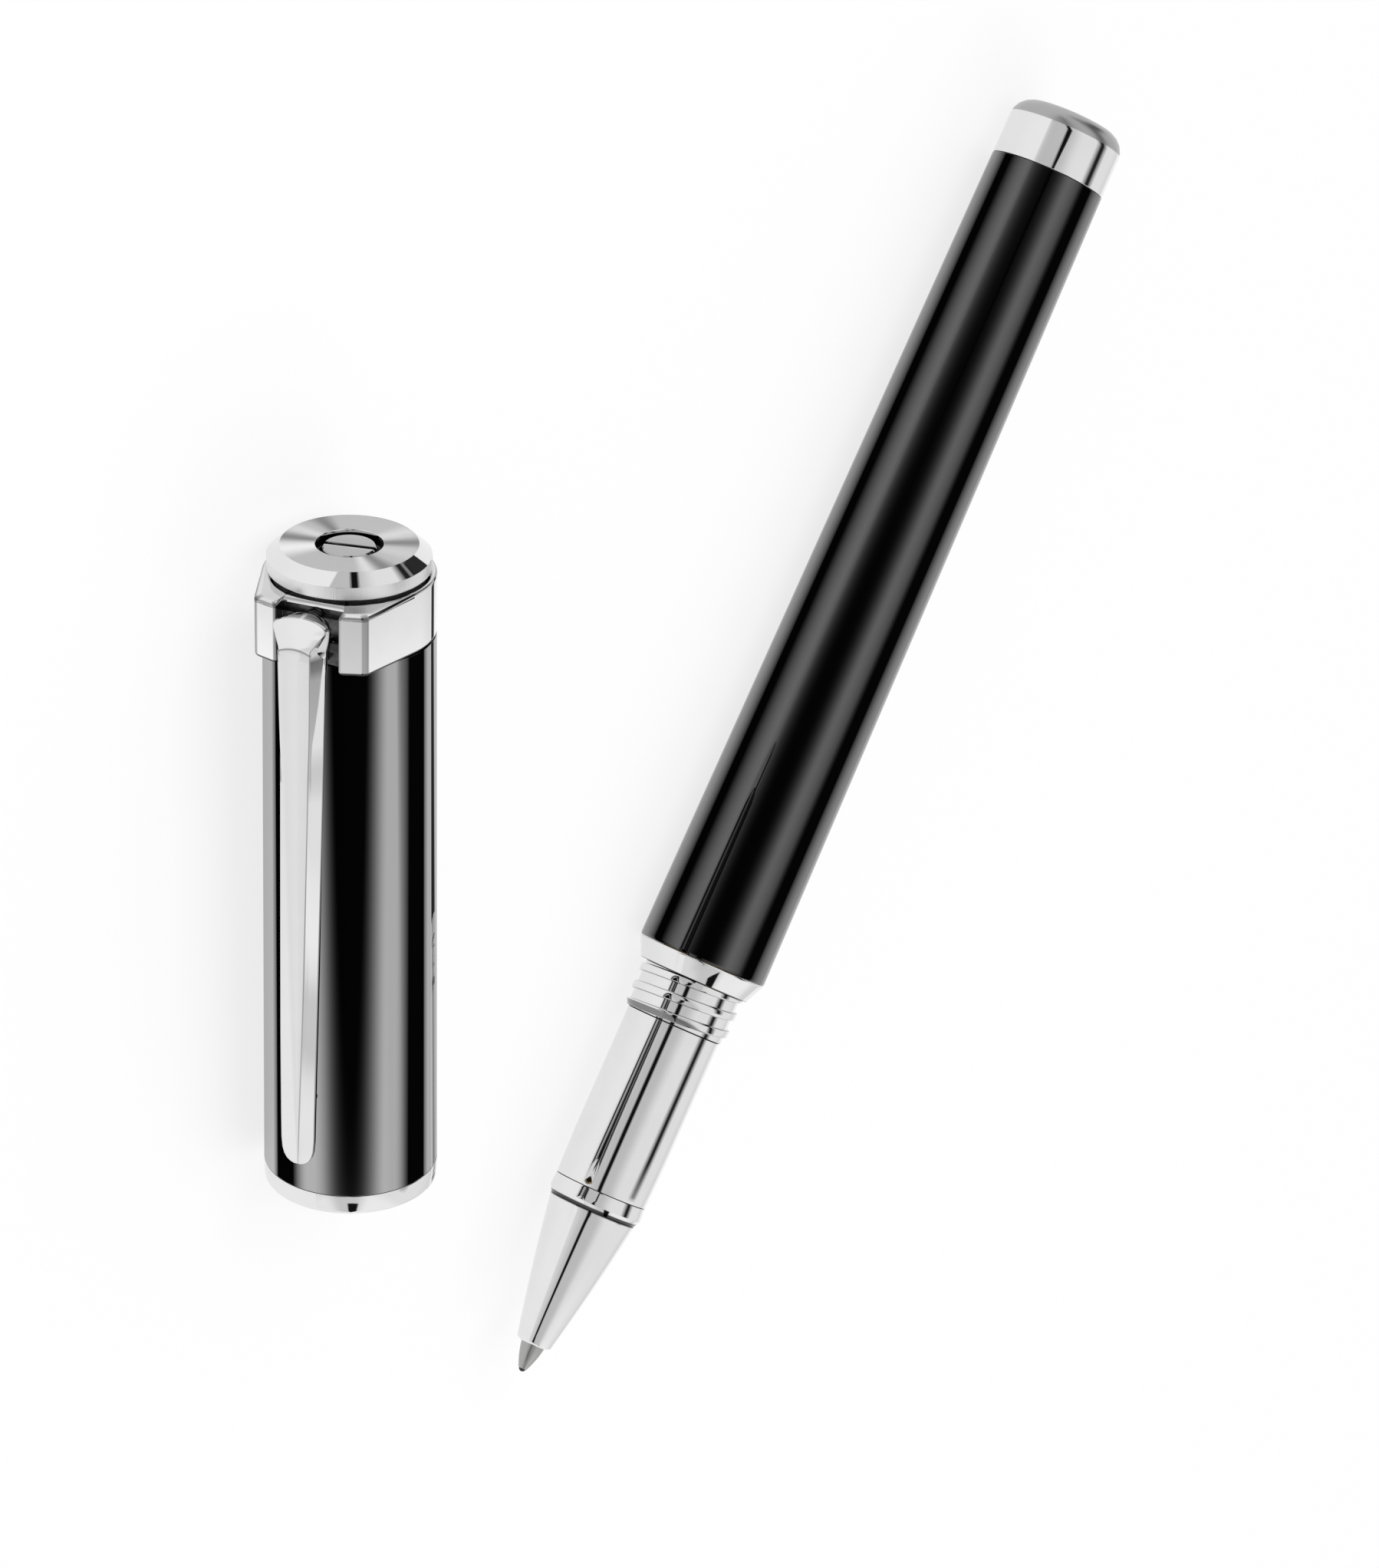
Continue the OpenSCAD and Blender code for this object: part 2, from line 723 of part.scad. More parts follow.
module clip_spring() {
    start = pocket_r - 1 + face_gap;
    color([0.7, 0.7, 0.72]) on_cap() translate([start, 0, clip_spring_z]) rotate([0, 90, 0])
        coil_spring(clip_spring_d, clip_wire, head_back_r - face_gap - start, 5, 14, 6);
}

// Bar and head of the clip seen from the side: x is the distance from the cap's axis
module clip_bar() {
    bar_top = collar_start - 0.4;
    translate([0, clip_head_w, 0]) rotate([90, 0, 0]) linear_extrude(2 * clip_head_w)
        polygon([
            [clip_r - head_slope_r, head_top],
            [clip_r, panel_top],
            [clip_r, clip_end_z + 0.5],
            [clip_r - clip_tip_t * 0.3, clip_end_z],
            [clip_r - clip_tip_t * 0.8, clip_end_z],
            [clip_r - clip_tip_t, clip_end_z + 0.4],
            [clip_in_r, bar_top],
            [head_back_r, bar_top + 1.2],
            [head_back_r, head_top]
        ]);
}

// Rounded knuckle through which the pivot pin passes
module clip_knuckle() {
    translate([pin_r, clip_head_w, pin_z]) rotate([90, 0, 0])
        cylinder(h = 2 * clip_head_w, r = knuckle_r, $fn = 48);
    translate([pin_r, -clip_head_w, pin_z - knuckle_r])
        cube([clip_in_r - pin_r, 2 * clip_head_w, 2 * knuckle_r]);
}

// Rounded foot near the clip's end, which holds the clip off the cap
module clip_foot() {
    foot_r = cap_r(foot_z) + foot_gap;
    foot_h = clip_r - clip_tip_t / 2 - foot_r;
    translate([foot_r, 0, foot_z]) rotate([0, 90, 0])
        rotate_extrude($fn = 48) polygon(concat(
            [[0, 0]],
            corner([foot_end_r - foot_round, foot_round], foot_round, -90, 0, 5),
            [[foot_base_r, foot_h], [0, foot_h]]
        ));
}

// Front view of the clip: x is across the clip, y the distance from the mouth
module clip_front() {
    half_tip = clip_tip_w / 2;
    half_top = clip_top_w / 2;
    half_head = clip_head_w / 2;
    arch = 0.5;
    half = [
        [half_tip * 0.32, clip_end_z - 0.01],
        [half_tip * 0.7, clip_end_z + 0.38],
        [half_tip * 0.94, clip_end_z + 1.2],
        [half_tip, clip_end_z + 2.2],
        [half_top, panel_top - 0.4],
        [half_head, panel_top + 0.9],
        [half_head, head_top - arch],
        [half_head - arch, head_top - 0.12],
        [half_head / 3, head_top + 0.01]
    ];
    polygon(concat(half, [for (i = [len(half) - 1:-1:0]) [-half[i][0], half[i][1]]]));
}

// Half a space above a plane along the clip, tilted away from the front on one side.
// Where flare is given it stops at the start, along a line that rises outwards by that angle
module facet(side, start, lean, slope, flare = 0) {
    size = 2 * cap_len;
    translate([clip_r, side * start[0], start[1]])
        rotate([-side * lean, 0, 0])
            rotate([0, 0, side * slope])
                rotate([side * flare, 0, 0])
                    translate([0, -size / 2, flare == 0 ? -size / 2 : -size])
                        cube([size, size, size]);
}

module clip() {
    panel_end = panel_top - panel_straight;
    lean = atan(panel_w / 2 / (panel_end - clip_end_z));
    spread = atan(flank_spread / 2 / (panel_top - clip_end_z));
    color([0.85, 0.85, 0.87]) on_cap() difference() {
        intersection() {
            union() {
                clip_bar();
                clip_knuckle();
                clip_foot();
            }
            rotate([90, 0, 90]) linear_extrude(2 * clip_r) clip_front();
        }
        for (side = [-1, 1]) {
            facet(side, [0, clip_end_z], lean, facet_angle);
            facet(side, [panel_w / 2, panel_top], -spread, flank_angle, 40);
        }
        translate([pin_r, -clip_head_w, pin_z]) rotate([-90, 0, 0])
            cylinder(h = 2 * clip_head_w, r = pin_d / 2 + run_gap, $fn = 48);
    }
}

barrel_tube();
barrel_sleeve();
end_finial();
finial_stud();
spring_seat();
refill_spring();
section_core();
section_seal();
shoulder_cone();
thread_collar();
grip_sleeve();
front_ring();
nose_cone();
refill_tube();
refill_shell();
refill_tip();
refill_plug();
ink_core();
writing_ball();
cap_tube();
mouth_ring();
thread_insert();
cap_liner();
head_plug();
clip_collar();
collar_washer();
top_disc();
slotted_screw();
clip();
clip_pin();
clip_spring();
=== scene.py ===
"""Looks of a capped rollerball pen, built round its solid model as an add-on for Blender."""

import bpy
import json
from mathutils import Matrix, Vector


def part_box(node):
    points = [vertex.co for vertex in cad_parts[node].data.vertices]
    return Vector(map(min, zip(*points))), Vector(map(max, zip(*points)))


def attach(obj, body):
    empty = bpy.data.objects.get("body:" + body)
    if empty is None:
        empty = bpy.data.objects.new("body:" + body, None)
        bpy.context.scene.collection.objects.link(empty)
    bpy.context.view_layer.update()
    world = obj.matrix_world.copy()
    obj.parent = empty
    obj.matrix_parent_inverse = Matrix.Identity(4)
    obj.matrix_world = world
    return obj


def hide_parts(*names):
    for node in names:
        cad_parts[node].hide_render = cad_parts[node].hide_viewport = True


bl_info = {
    "name": "Lacquered Rollerball Pen",
    "version": (1, 0, 0),
    "blender": (4, 5, 0),
    "location": "View3D > Sidebar > Pen",
    "description": "Builds a lacquered rollerball pen with its cap taken off",
    "category": "Add Mesh",
}

import json
import math

import bpy
from mathutils import Matrix, Vector

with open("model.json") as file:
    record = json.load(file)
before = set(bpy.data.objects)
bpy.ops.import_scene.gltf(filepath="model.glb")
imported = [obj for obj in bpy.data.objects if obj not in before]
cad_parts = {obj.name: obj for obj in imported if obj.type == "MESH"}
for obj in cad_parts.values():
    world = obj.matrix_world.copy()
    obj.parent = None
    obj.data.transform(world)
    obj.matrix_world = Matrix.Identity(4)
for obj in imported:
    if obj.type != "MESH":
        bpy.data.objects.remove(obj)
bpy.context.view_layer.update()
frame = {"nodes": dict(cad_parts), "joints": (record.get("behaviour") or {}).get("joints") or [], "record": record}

MM = 0.001
FULL_TURN = 2 * math.pi
MERGE = 1e-6
RECORD = frame["record"]
MOUNTS = {mount["name"]: mount for mount in RECORD["mounts"]}
JOINTS = {joint["name"]: joint for joint in frame["joints"]}

# Places that the solid model gives
TIP_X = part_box("writing_ball")[1].x
CAP_AXIS = Vector(MOUNTS["cap_top"]["axis"]).normalized()
RIM_LOW, RIM_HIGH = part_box("mouth_ring")
CAP_HEIGHT = (RIM_LOW.z + RIM_HIGH.z) / 2
CAP_MOUTH = Vector(MOUNTS["cap_rim"]["pos_m"][:2] + [CAP_HEIGHT])
CLIP_AXIS = Vector(JOINTS["clip_lift"]["axis"]).normalized()
CLIP_OUT = CAP_AXIS.cross(CLIP_AXIS).normalized()
CLIP_SIDE = CAP_AXIS.cross(CLIP_OUT).normalized()
TABLE_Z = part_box("barrel_tube")[0].z

# Pieces are modelled upright along Z and then laid down by these
ON_PEN = Matrix(((0, 0, -1, TIP_X), (0, 1, 0, 0), (1, 0, 0, 0), (0, 0, 0, 1)))
ON_CAP = Matrix.Translation(CAP_MOUTH) @ Matrix((CLIP_OUT, CLIP_SIDE, CAP_AXIS)).transposed().to_4x4()


# ---------------------------------------------------------------- sizes


class PenSizes(bpy.types.PropertyGroup):
    """Sizes of the pen, in metres."""

    shoulder_at: bpy.props.FloatProperty(
        name="Shoulder seam", description="Distance from the ball to the barrel",
        default=41.5 * MM, unit="LENGTH"
    )
    barrel_d: bpy.props.FloatProperty(
        name="Barrel front", description="Barrel diameter at its wide end", default=12.4 * MM, unit="LENGTH"
    )
    barrel_tail_d: bpy.props.FloatProperty(
        name="Barrel rear", description="Barrel diameter at its narrow end", default=11.0 * MM, unit="LENGTH"
    )
    grip_d: bpy.props.FloatProperty(
        name="Grip", description="Diameter of the straight part of the grip", default=9.08 * MM, unit="LENGTH"
    )
    waist_d: bpy.props.FloatProperty(
        name="Waist", description="Diameter of the grip at the front ring", default=8.86 * MM, unit="LENGTH"
    )
    thread_d: bpy.props.FloatProperty(
        name="Thread crest", description="Outer diameter of the cap's thread",
        default=10.02 * MM, unit="LENGTH"
    )
    thread_root_d: bpy.props.FloatProperty(
        name="Thread root", description="Diameter between the ridges", default=9.4 * MM, unit="LENGTH"
    )
    thread_pitch: bpy.props.FloatProperty(
        name="Thread pitch", description="Advance of the thread in one turn", default=1.75 * MM, unit="LENGTH"
    )
    tip_d: bpy.props.FloatProperty(
        name="Refill tip", description="Diameter of the metal writing tip", default=2.3 * MM, unit="LENGTH"
    )


class CapSizes(bpy.types.PropertyGroup):
    """Sizes of the cap, in metres."""

    mouth_d: bpy.props.FloatProperty(
        name="Cap mouth", description="Diameter at the mouth", default=15.04 * MM, unit="LENGTH"
    )
    top_d: bpy.props.FloatProperty(
        name="Cap tube top", description="Tube diameter below the clip collar",
        default=14.52 * MM, unit="LENGTH"
    )
    ring_h: bpy.props.FloatProperty(
        name="Mouth ring", description="Height of the metal ring at the mouth",
        default=1.9 * MM, unit="LENGTH"
    )
    disc_d: bpy.props.FloatProperty(
        name="Top disc", description="Diameter of the top disc", default=13.76 * MM, unit="LENGTH"
    )
    face_d: bpy.props.FloatProperty(
        name="Disc face", description="Diameter of the disc's flat face", default=11.54 * MM, unit="LENGTH"
    )


class Finishes(bpy.types.PropertyGroup):
    """Colours and surface finishes."""

    lacquer: bpy.props.FloatVectorProperty(
        name="Lacquer", description="Colour of the lacquer",
        default=(0.0012, 0.0012, 0.0014), size=3, subtype="COLOR"
    )
    metal: bpy.props.FloatVectorProperty(
        name="Plating", description="Colour of the polished plating", default=(0.80, 0.80, 0.80), size=3,
        subtype="COLOR"
    )
    brass: bpy.props.FloatVectorProperty(
        name="Brass", description="Colour of the turned brass",
        default=(0.70, 0.50, 0.22), size=3, subtype="COLOR"
    )
    floor: bpy.props.FloatVectorProperty(
        name="Floor", description="Colour of the floor", default=(0.93, 0.93, 0.93), size=3, subtype="COLOR"
    )


# ---------------------------------------------------------------- modelling


def nothing_selected():
    """Leaves object mode clean, with nothing selected."""
    if bpy.context.object and bpy.context.object.mode != "OBJECT":
        bpy.ops.object.mode_set(mode="OBJECT")
    bpy.ops.object.select_all(action="DESELECT")


def rounded(corners, closed=False, steps=5):
    """Outline of (x, y, radius) corners as plain points, each corner rounded by its radius."""
    count = len(corners)
    points = []
    for i, (x, y, radius) in enumerate(corners):
        here = Vector((x, y))
        if radius == 0 or (not closed and i in (0, count - 1)):
            points.append((x, y))
            continue
        before = (Vector(corners[i - 1][:2]) - here)
        after = (Vector(corners[(i + 1) % count][:2]) - here)
        opening = before.angle(after)
        reach = min(radius / math.tan(opening / 2), before.length * 0.49, after.length * 0.49)
        size = reach * math.tan(opening / 2)
        bisector = (before.normalized() + after.normalized()).normalized()
        middle = here + bisector * (size / math.sin(opening / 2))
        start = here + before.normalized() * reach - middle
        end = here + after.normalized() * reach - middle
        sweep = start.angle_signed(end)
        for k in range(steps + 1):
            turn = Matrix.Rotation(-sweep * k / steps, 2)
            points.append(tuple(middle + turn @ start))
    return points


def arch(start, end, bulge, steps):
    """Points between two (radius, height) points on a side that bulges evenly outwards."""
    made = []
    for k in range(1, steps):
        f = k / steps
        made.append((
            start[0] + (end[0] - start[0]) * f + 4 * bulge * f * (1 - f),
            start[1] + (end[1] - start[1]) * f,
            0,
        ))
    return made


def outline_strip(points):
    """One vertex drawn out point by point into a chain of edges, left in edit mode."""
    nothing_selected()
    bpy.ops.mesh.primitive_plane_add(size=MM, location=(0, 0, 0))
    bpy.ops.object.mode_set(mode="EDIT")
    bpy.ops.mesh.merge(type="CENTER")
    bpy.ops.transform.translate(value=(points[0][0], 0, points[0][1]))
    for (x0, z0), (x1, z1) in zip(points, points[1:]):
        bpy.ops.mesh.extrude_region_move(TRANSFORM_OT_translate={"value": (x1 - x0, 0, z1 - z0)})
    bpy.ops.mesh.select_all(action="SELECT")
    return bpy.context.object


def finish_piece(piece, name, place, smooth=24):
    """Names a modelled piece, lays it down at its place and smooths its shading."""
    nothing_selected()
    bpy.context.view_layer.objects.active = piece
    piece.select_set(True)
    piece.name = name
    piece.data.name = name
    piece.matrix_world = place @ piece.matrix_world
    bpy.ops.object.transform_apply(location=True, rotation=True, scale=True)
    bpy.ops.object.shade_smooth_by_angle(angle=math.radians(smooth))
    nothing_selected()
    return piece


def turned(name, corners, place, ring=False, steps=144, smooth=24):
    """Turns an outline of (radius, height, rounding) corners, in millimetres, round the axis."""
    points = [(x * MM, y * MM) for x, y in rounded(corners, closed=ring)]
    if ring:
        points.append(points[0])
    piece = outline_strip(points)
    bpy.ops.mesh.spin(steps=steps, angle=FULL_TURN, center=(0, 0, 0), axis=(0, 0, 1))
    bpy.ops.mesh.select_all(action="SELECT")
    bpy.ops.mesh.remove_doubles(threshold=MERGE)
    bpy.ops.mesh.normals_make_consistent(inside=False)
    bpy.ops.object.mode_set(mode="OBJECT")
    finish_piece(piece, name, place, smooth)
    even_normals(piece)
    return piece


def apply_modifier(piece, kind, name, **settings):
    """Adds one modifier with its settings and applies it."""
    nothing_selected()
    bpy.context.view_layer.objects.active = piece
    piece.select_set(True)
    modifier = piece.modifiers.new(name, kind)
    for key, value in settings.items():
        setattr(modifier, key, value)
    bpy.ops.object.modifier_apply(modifier=modifier.name)
    nothing_selected()


def threaded(name, corners, start, end, pitch, inside, place, fade, root):
    """A right-hand screw thread between two heights, on a core that is bored through.

    corners is one pitch of the ridge as (radius, height) pairs in millimetres. The ridge grows from the
    root's radius to its full height over the length fade.
    """
    piece = outline_strip([(x * MM, y * MM) for x, y in corners])
    bpy.ops.transform.translate(value=(0, 0, (start - pitch) * MM))
    bpy.ops.object.mode_set(mode="OBJECT")
    turns = math.ceil((end - start) / pitch) + 2
    apply_modifier(
        piece, "SCREW", "Thread", axis="Z", angle=FULL_TURN, screw_offset=pitch * MM, iterations=turns,
        steps=96, render_steps=96, use_merge_vertices=True, merge_threshold=MERGE, use_normal_calculate=True,
    )
    fade_ridges(piece, root * MM, start * MM, fade * MM)
    bpy.context.view_layer.objects.active = piece
    piece.select_set(True)
    bpy.ops.object.mode_set(mode="EDIT")
    for height, low in ((start, True), (end, False)):
        bpy.ops.mesh.select_all(action="SELECT")
        bpy.ops.mesh.bisect(
            plane_co=(0, 0, height * MM), plane_no=(0, 0, 1), clear_inner=low, clear_outer=not low,
            threshold=1e-8
        )
        bpy.ops.object.mode_set(mode="OBJECT")
        pick_edges(piece, lambda a, b: abs(a.z - height * MM) < 1e-7 and abs(b.z - height * MM) < 1e-7)
        bpy.ops.object.mode_set(mode="EDIT")
        bpy.ops.mesh.extrude_region_move()
        pull_to_radius(piece, inside * MM)
    bpy.ops.object.mode_set(mode="OBJECT")
    inner = inside * MM
    pick_edges(piece, lambda a, b: on_radius(a, inner) and on_radius(b, inner) and abs(a.z - b.z) < 1e-7)
    bpy.ops.object.mode_set(mode="EDIT")
    bpy.ops.mesh.bridge_edge_loops()
    bpy.ops.mesh.select_all(action="SELECT")
    bpy.ops.mesh.remove_doubles(threshold=MERGE)
    bpy.ops.mesh.normals_make_consistent(inside=False)
    bpy.ops.object.mode_set(mode="OBJECT")
    return finish_piece(piece, name, place, 30)


def on_radius(point, radius):
    """True if a point lies at a radius from the Z axis."""
    return abs(math.hypot(point.x, point.y) - radius) < 2e-6


def pick_edges(piece, wanted):
    """Selects the edges whose two ends pass a test, in object mode."""
    mesh = piece.data
    for vertex in mesh.vertices:
        vertex.select = False
    for face in mesh.polygons:
        face.select = False
    for edge in mesh.edges:
        a, b = (mesh.vertices[i].co for i in edge.vertices)
        edge.select = wanted(a, b)
        if edge.select:
            for i in edge.vertices:
                mesh.vertices[i].select = True


def pull_to_radius(piece, radius):
    """Moves the selected vertices straight to a radius from the Z axis, in edit mode."""
    bpy.ops.object.mode_set(mode="OBJECT")
    for vertex in piece.data.vertices:
        if vertex.select:
            scale = radius / math.hypot(vertex.co.x, vertex.co.y)
            vertex.co.x *= scale
            vertex.co.y *= scale
    bpy.ops.object.mode_set(mode="EDIT")


def fade_ridges(piece, root, start, fade):
    """Sinks a thread's ridge towards the root near its start."""
    for vertex in piece.data.vertices:
        size = math.hypot(vertex.co.x, vertex.co.y)
        keep = min(1.0, max(0.0, (vertex.co.z - start) / fade))
        scale = (root + (size - root) * keep) / size
        vertex.co.x *= scale
        vertex.co.y *= scale


def eased_copy(node, name, rounding, segments=3, smooth=30, limit=12):
    """A copy of a solid's mesh with merged faces and softly rounded edges."""
    nothing_selected()
    piece = frame["nodes"][node].copy()
    piece.data = frame["nodes"][node].data.copy()
    for key in list(piece.keys()):
        del piece[key]
    piece.parent = None
    piece.data.materials.clear()
    bpy.context.scene.collection.objects.link(piece)
    bpy.context.view_layer.objects.active = piece
    piece.select_set(True)
    bpy.ops.object.mode_set(mode="EDIT")
    bpy.ops.mesh.select_all(action="SELECT")
    bpy.ops.mesh.remove_doubles(threshold=MERGE)
    bpy.ops.mesh.dissolve_limited(angle_limit=math.radians(0.5))
    bpy.ops.object.mode_set(mode="OBJECT")
    apply_modifier(
        piece, "BEVEL", "Soft edges", width=rounding, segments=segments, limit_method="ANGLE",
        angle_limit=math.radians(limit), harden_normals=False, use_clamp_overlap=True,
    )
    return finish_piece(piece, name, Matrix.Identity(4), smooth)


def even_normals(piece):
    """Keeps the shading of long and flat faces even, beside their rounded edges."""
    apply_modifier(piece, "WEIGHTED_NORMAL", "Even flats", keep_sharp=True, weight=100)


# The loft's point attribute of painted tones: painted shade, painted dark reflections along edges and painted
# highlights
SHADE = "shade"


def soft_corners(corners, steps=5):
    """A closed outline of (x, y, cut) corners, each blended away from cut before it to cut after it.

    Each point also says how far round its corner it lies, from 0 to 1, and which corner that is.
    """
    points = []
    for i, (x, y, cut) in enumerate(corners):
        here = Vector((x, y))
        if cut == 0:
            points.append((x, y, 0.0, i))
            continue
        before = Vector(corners[i - 1][:2]) - here
        after = Vector(corners[(i + 1) % len(corners)][:2]) - here
        start = here + before.normalized() * min(cut, before.length * 0.49)
        end = here + after.normalized() * min(cut, after.length * 0.49)
        for k in range(steps + 1):
            t = k / steps
            spot = start * (1 - t) ** 2 + here * 2 * t * (1 - t) + end * t ** 2
            points.append((spot.x, spot.y, t, i))
    return points


def edge_shade(t, depth):
    """How much light an edge keeps under its painted dark line, a painted reflection in the edge's rounding, with
    its line in the middle of the corner.
    """
    return 1 - depth * min(1.0, 5.2 * t * (1 - t))


def lofted(name, rings, place, closed=False, smooth=35, finishes=(), pick=None):
    """A skin through rings of equally many (x, y, z, shade) points in millimetres, with closed ends.

    closed joins the last ring to the first. pick gives a face's finish from its centre, in millimetres.
    """
    count = len(rings[0])
    points = [Vector(point[:3]) * MM for ring in rings for point in ring]
    shades = [point[3] for ring in rings for point in ring]
    faces = []
    for i in range(len(rings) if closed else len(rings) - 1):
        near, far = i * count, (i + 1) % len(rings) * count
        for j in range(count):
            k = (j + 1) % count
            faces.append((near + j, near + k, far + k, far + j))
    if not closed:
        for ring in (0, len(rings) - 1):
            points.append(sum((points[ring * count + j] for j in range(count)), Vector()) / count)
            shades.append(1.0)
            start, tip = ring * count, len(points) - 1
            faces += [(start + j, start + (j + 1) % count, tip) for j in range(count)]
    mesh = bpy.data.meshes.new(name)
    mesh.from_pydata(points, [], faces)
    mesh.attributes.new(SHADE, "FLOAT", "POINT").data.foreach_set("value", shades)
    for finish in finishes:
        mesh.materials.append(finish)
    if pick:
        for face in mesh.polygons:
            face.material_index = pick(face.center / MM)
    piece = bpy.data.objects.new(name, mesh)
    bpy.context.scene.collection.objects.link(piece)
    nothing_selected()
    bpy.context.view_layer.objects.active = piece
    piece.select_set(True)
    bpy.ops.object.mode_set(mode="EDIT")
    bpy.ops.mesh.select_all(action="SELECT")
    bpy.ops.mesh.remove_doubles(threshold=MERGE)
    bpy.ops.mesh.normals_make_consistent(inside=False)
    bpy.ops.object.mode_set(mode="OBJECT")
    finish_piece(piece, name, place, smooth)
    even_normals(piece)
    return piece


# ---------------------------------------------------------------- finishes


class Shading:
    """A material's or the world's node tree, with short ways to add to it."""

    def __init__(self, tree):
        self.nodes, self.links = tree.nodes, tree.links

    def put(self, socket, value):
        """Links an output to a socket, or sets the socket to a plain value."""
        if isinstance(value, bpy.types.NodeSocket):
            self.links.new(value, socket)
        else:
            socket.default_value = value

    def node(self, kind, output, inputs, **settings):
        """Adds one node with its settings and inputs, and gives one of its outputs."""
        node = self.nodes.new("ShaderNode" + kind)
        for name, value in settings.items():
            setattr(node, name, value)
        for name, value in inputs.items():
            self.put(node.inputs[name], value)
        return node.outputs[output]

    def maths(self, kind, first, second=0.0):
        """One sum on two numbers or outputs."""
        return self.node("Math", "Value", {0: first, 1: second}, operation=kind)

    def times(self, first, *others):
        """Several levels multiplied."""
        for other in others:
            first = self.maths("MULTIPLY", first, other)
        return first

    def minus(self, first, second):
        """The second value taken from the first."""
        return self.maths("SUBTRACT", first, second)

    def apart(self, value, middle):
        """How far a value is from a middle."""
        return self.maths("ABSOLUTE", self.minus(value, middle))

    def spread(self, value, low, high, to_low=0.0, to_high=1.0, soft=False):
        """A value mapped from one range to another and kept inside it, with eased ends if soft."""
        inputs = {"Value": value, "From Min": low, "From Max": high, "To Min": to_low, "To Max": to_high}
        return self.node("MapRange", "Result", inputs, interpolation_type="SMOOTHSTEP" if soft else "LINEAR")

    def noise(self, where, scale, low, high, detail=4.0):
        """A noise between two values."""
        grain = self.node("TexNoise", "Fac", {"Vector": where, "Scale": scale, "Detail": detail})
        return self.spread(grain, 0.3, 0.7, low, high)

    def ramp(self, source, stops):
        """A ramp of grey values, from (place, value) stops."""
        node = self.nodes.new("ShaderNodeValToRGB")
        for at, _ in stops[2:]:
            node.color_ramp.elements.new(at)
        for element, (at, value) in zip(node.color_ramp.elements, stops):
            element.position = at
            element.color = (value, value, value, 1)
        self.links.new(source, node.inputs["Fac"])
        return node.outputs["Color"]

    def places(self, place=None):
        """Object coordinates, turned so that Z runs along a piece's own axis."""
        where = self.node("TexCoord", "Object", {})
        if place is None:
            return where
        back = place.inverted()
        inputs = {"Vector": where, "Location": back.to_translation(), "Rotation": back.to_euler("XYZ")}
        return self.node("Mapping", "Vector", inputs, vector_type="POINT")

    def axes(self, where):
        """The three parts of a place."""
        split = self.nodes.new("ShaderNodeSeparateXYZ")
        self.links.new(where, split.inputs["Vector"])
        return tuple(split.outputs)

    def from_axis(self, x, y):
        """Distance from the Z axis."""
        return self.maths("SQRT", self.maths("ADD", self.times(x, x), self.times(y, y)))

    def mix(self, share, first, second):
        """Two colours mixed."""
        return self.node("Mix", "Result", {"Factor": share, "A": first, "B": second}, data_type="RGBA")

    def bump(self, height, strength, distance):
        """A surface's direction under a fine relief."""
        return self.node("Bump", "Normal", {"Height": height, "Strength": strength, "Distance": distance})


def new_finish(name):
    """A new material, the inputs of its shader and its shading."""
    finish = bpy.data.materials.new(name)
    finish.use_nodes = True
    shading = Shading(finish.node_tree)
    return finish, shading.nodes["Principled BSDF"].inputs, shading


# The lacquer's gloss by its slant to the viewer: where its soft band rises and where it falls, each with
# the slant at which it is full, the band's strength, and where the bright rim starts and is full
BARREL_GLOSS = ((0, 0.09), (0.28, 0.06), 0.65, (0.38, 0.62))
CAP_GLOSS = ((0.12, 0.2), (0.35, 0.24), 0.86, (0.53, 0.6))
# The cap's two ends are seen at other slants, about half of which these factors at two heights make up for
CAP_EVENING = (4 * MM, 52 * MM, 1.0122, 0.9898)


def lacquer_finish(name, gloss_index, gloss, place=None):
    """Deep black lacquer with a faint polish haze.

    gloss sets its specular level by the slant, to draw soft bands. They are chosen for looks, and aren't
    how lacquer reflects. With a place they are made more even along the cap.
    """
    finish, skin, shading = new_finish(name)
    skin["Base Color"].default_value = (*bpy.context.scene.pen_finishes.lacquer, 1)
    skin["IOR"].default_value = gloss_index
    shading.put(skin["Roughness"], shading.noise(shading.places(), 900, 0.012, 0.026))
    slant = shading.node("LayerWeight", "Facing", {"Blend": 0.5})
    if place:
        even = shading.spread(shading.axes(shading.places(place))[2], *CAP_EVENING)
        slant = shading.minus(1.0, shading.times(even, shading.minus(1.0, slant)))
    rise, fall, strength, rim = gloss
    rising, falling = (shading.spread(slant, *edge, soft=True) for edge in (rise, fall))
    band = shading.times(rising, falling, strength)
    shading.put(skin["Specular IOR Level"], shading.maths("ADD", band, shading.spread(slant, *rim)))
    return finish


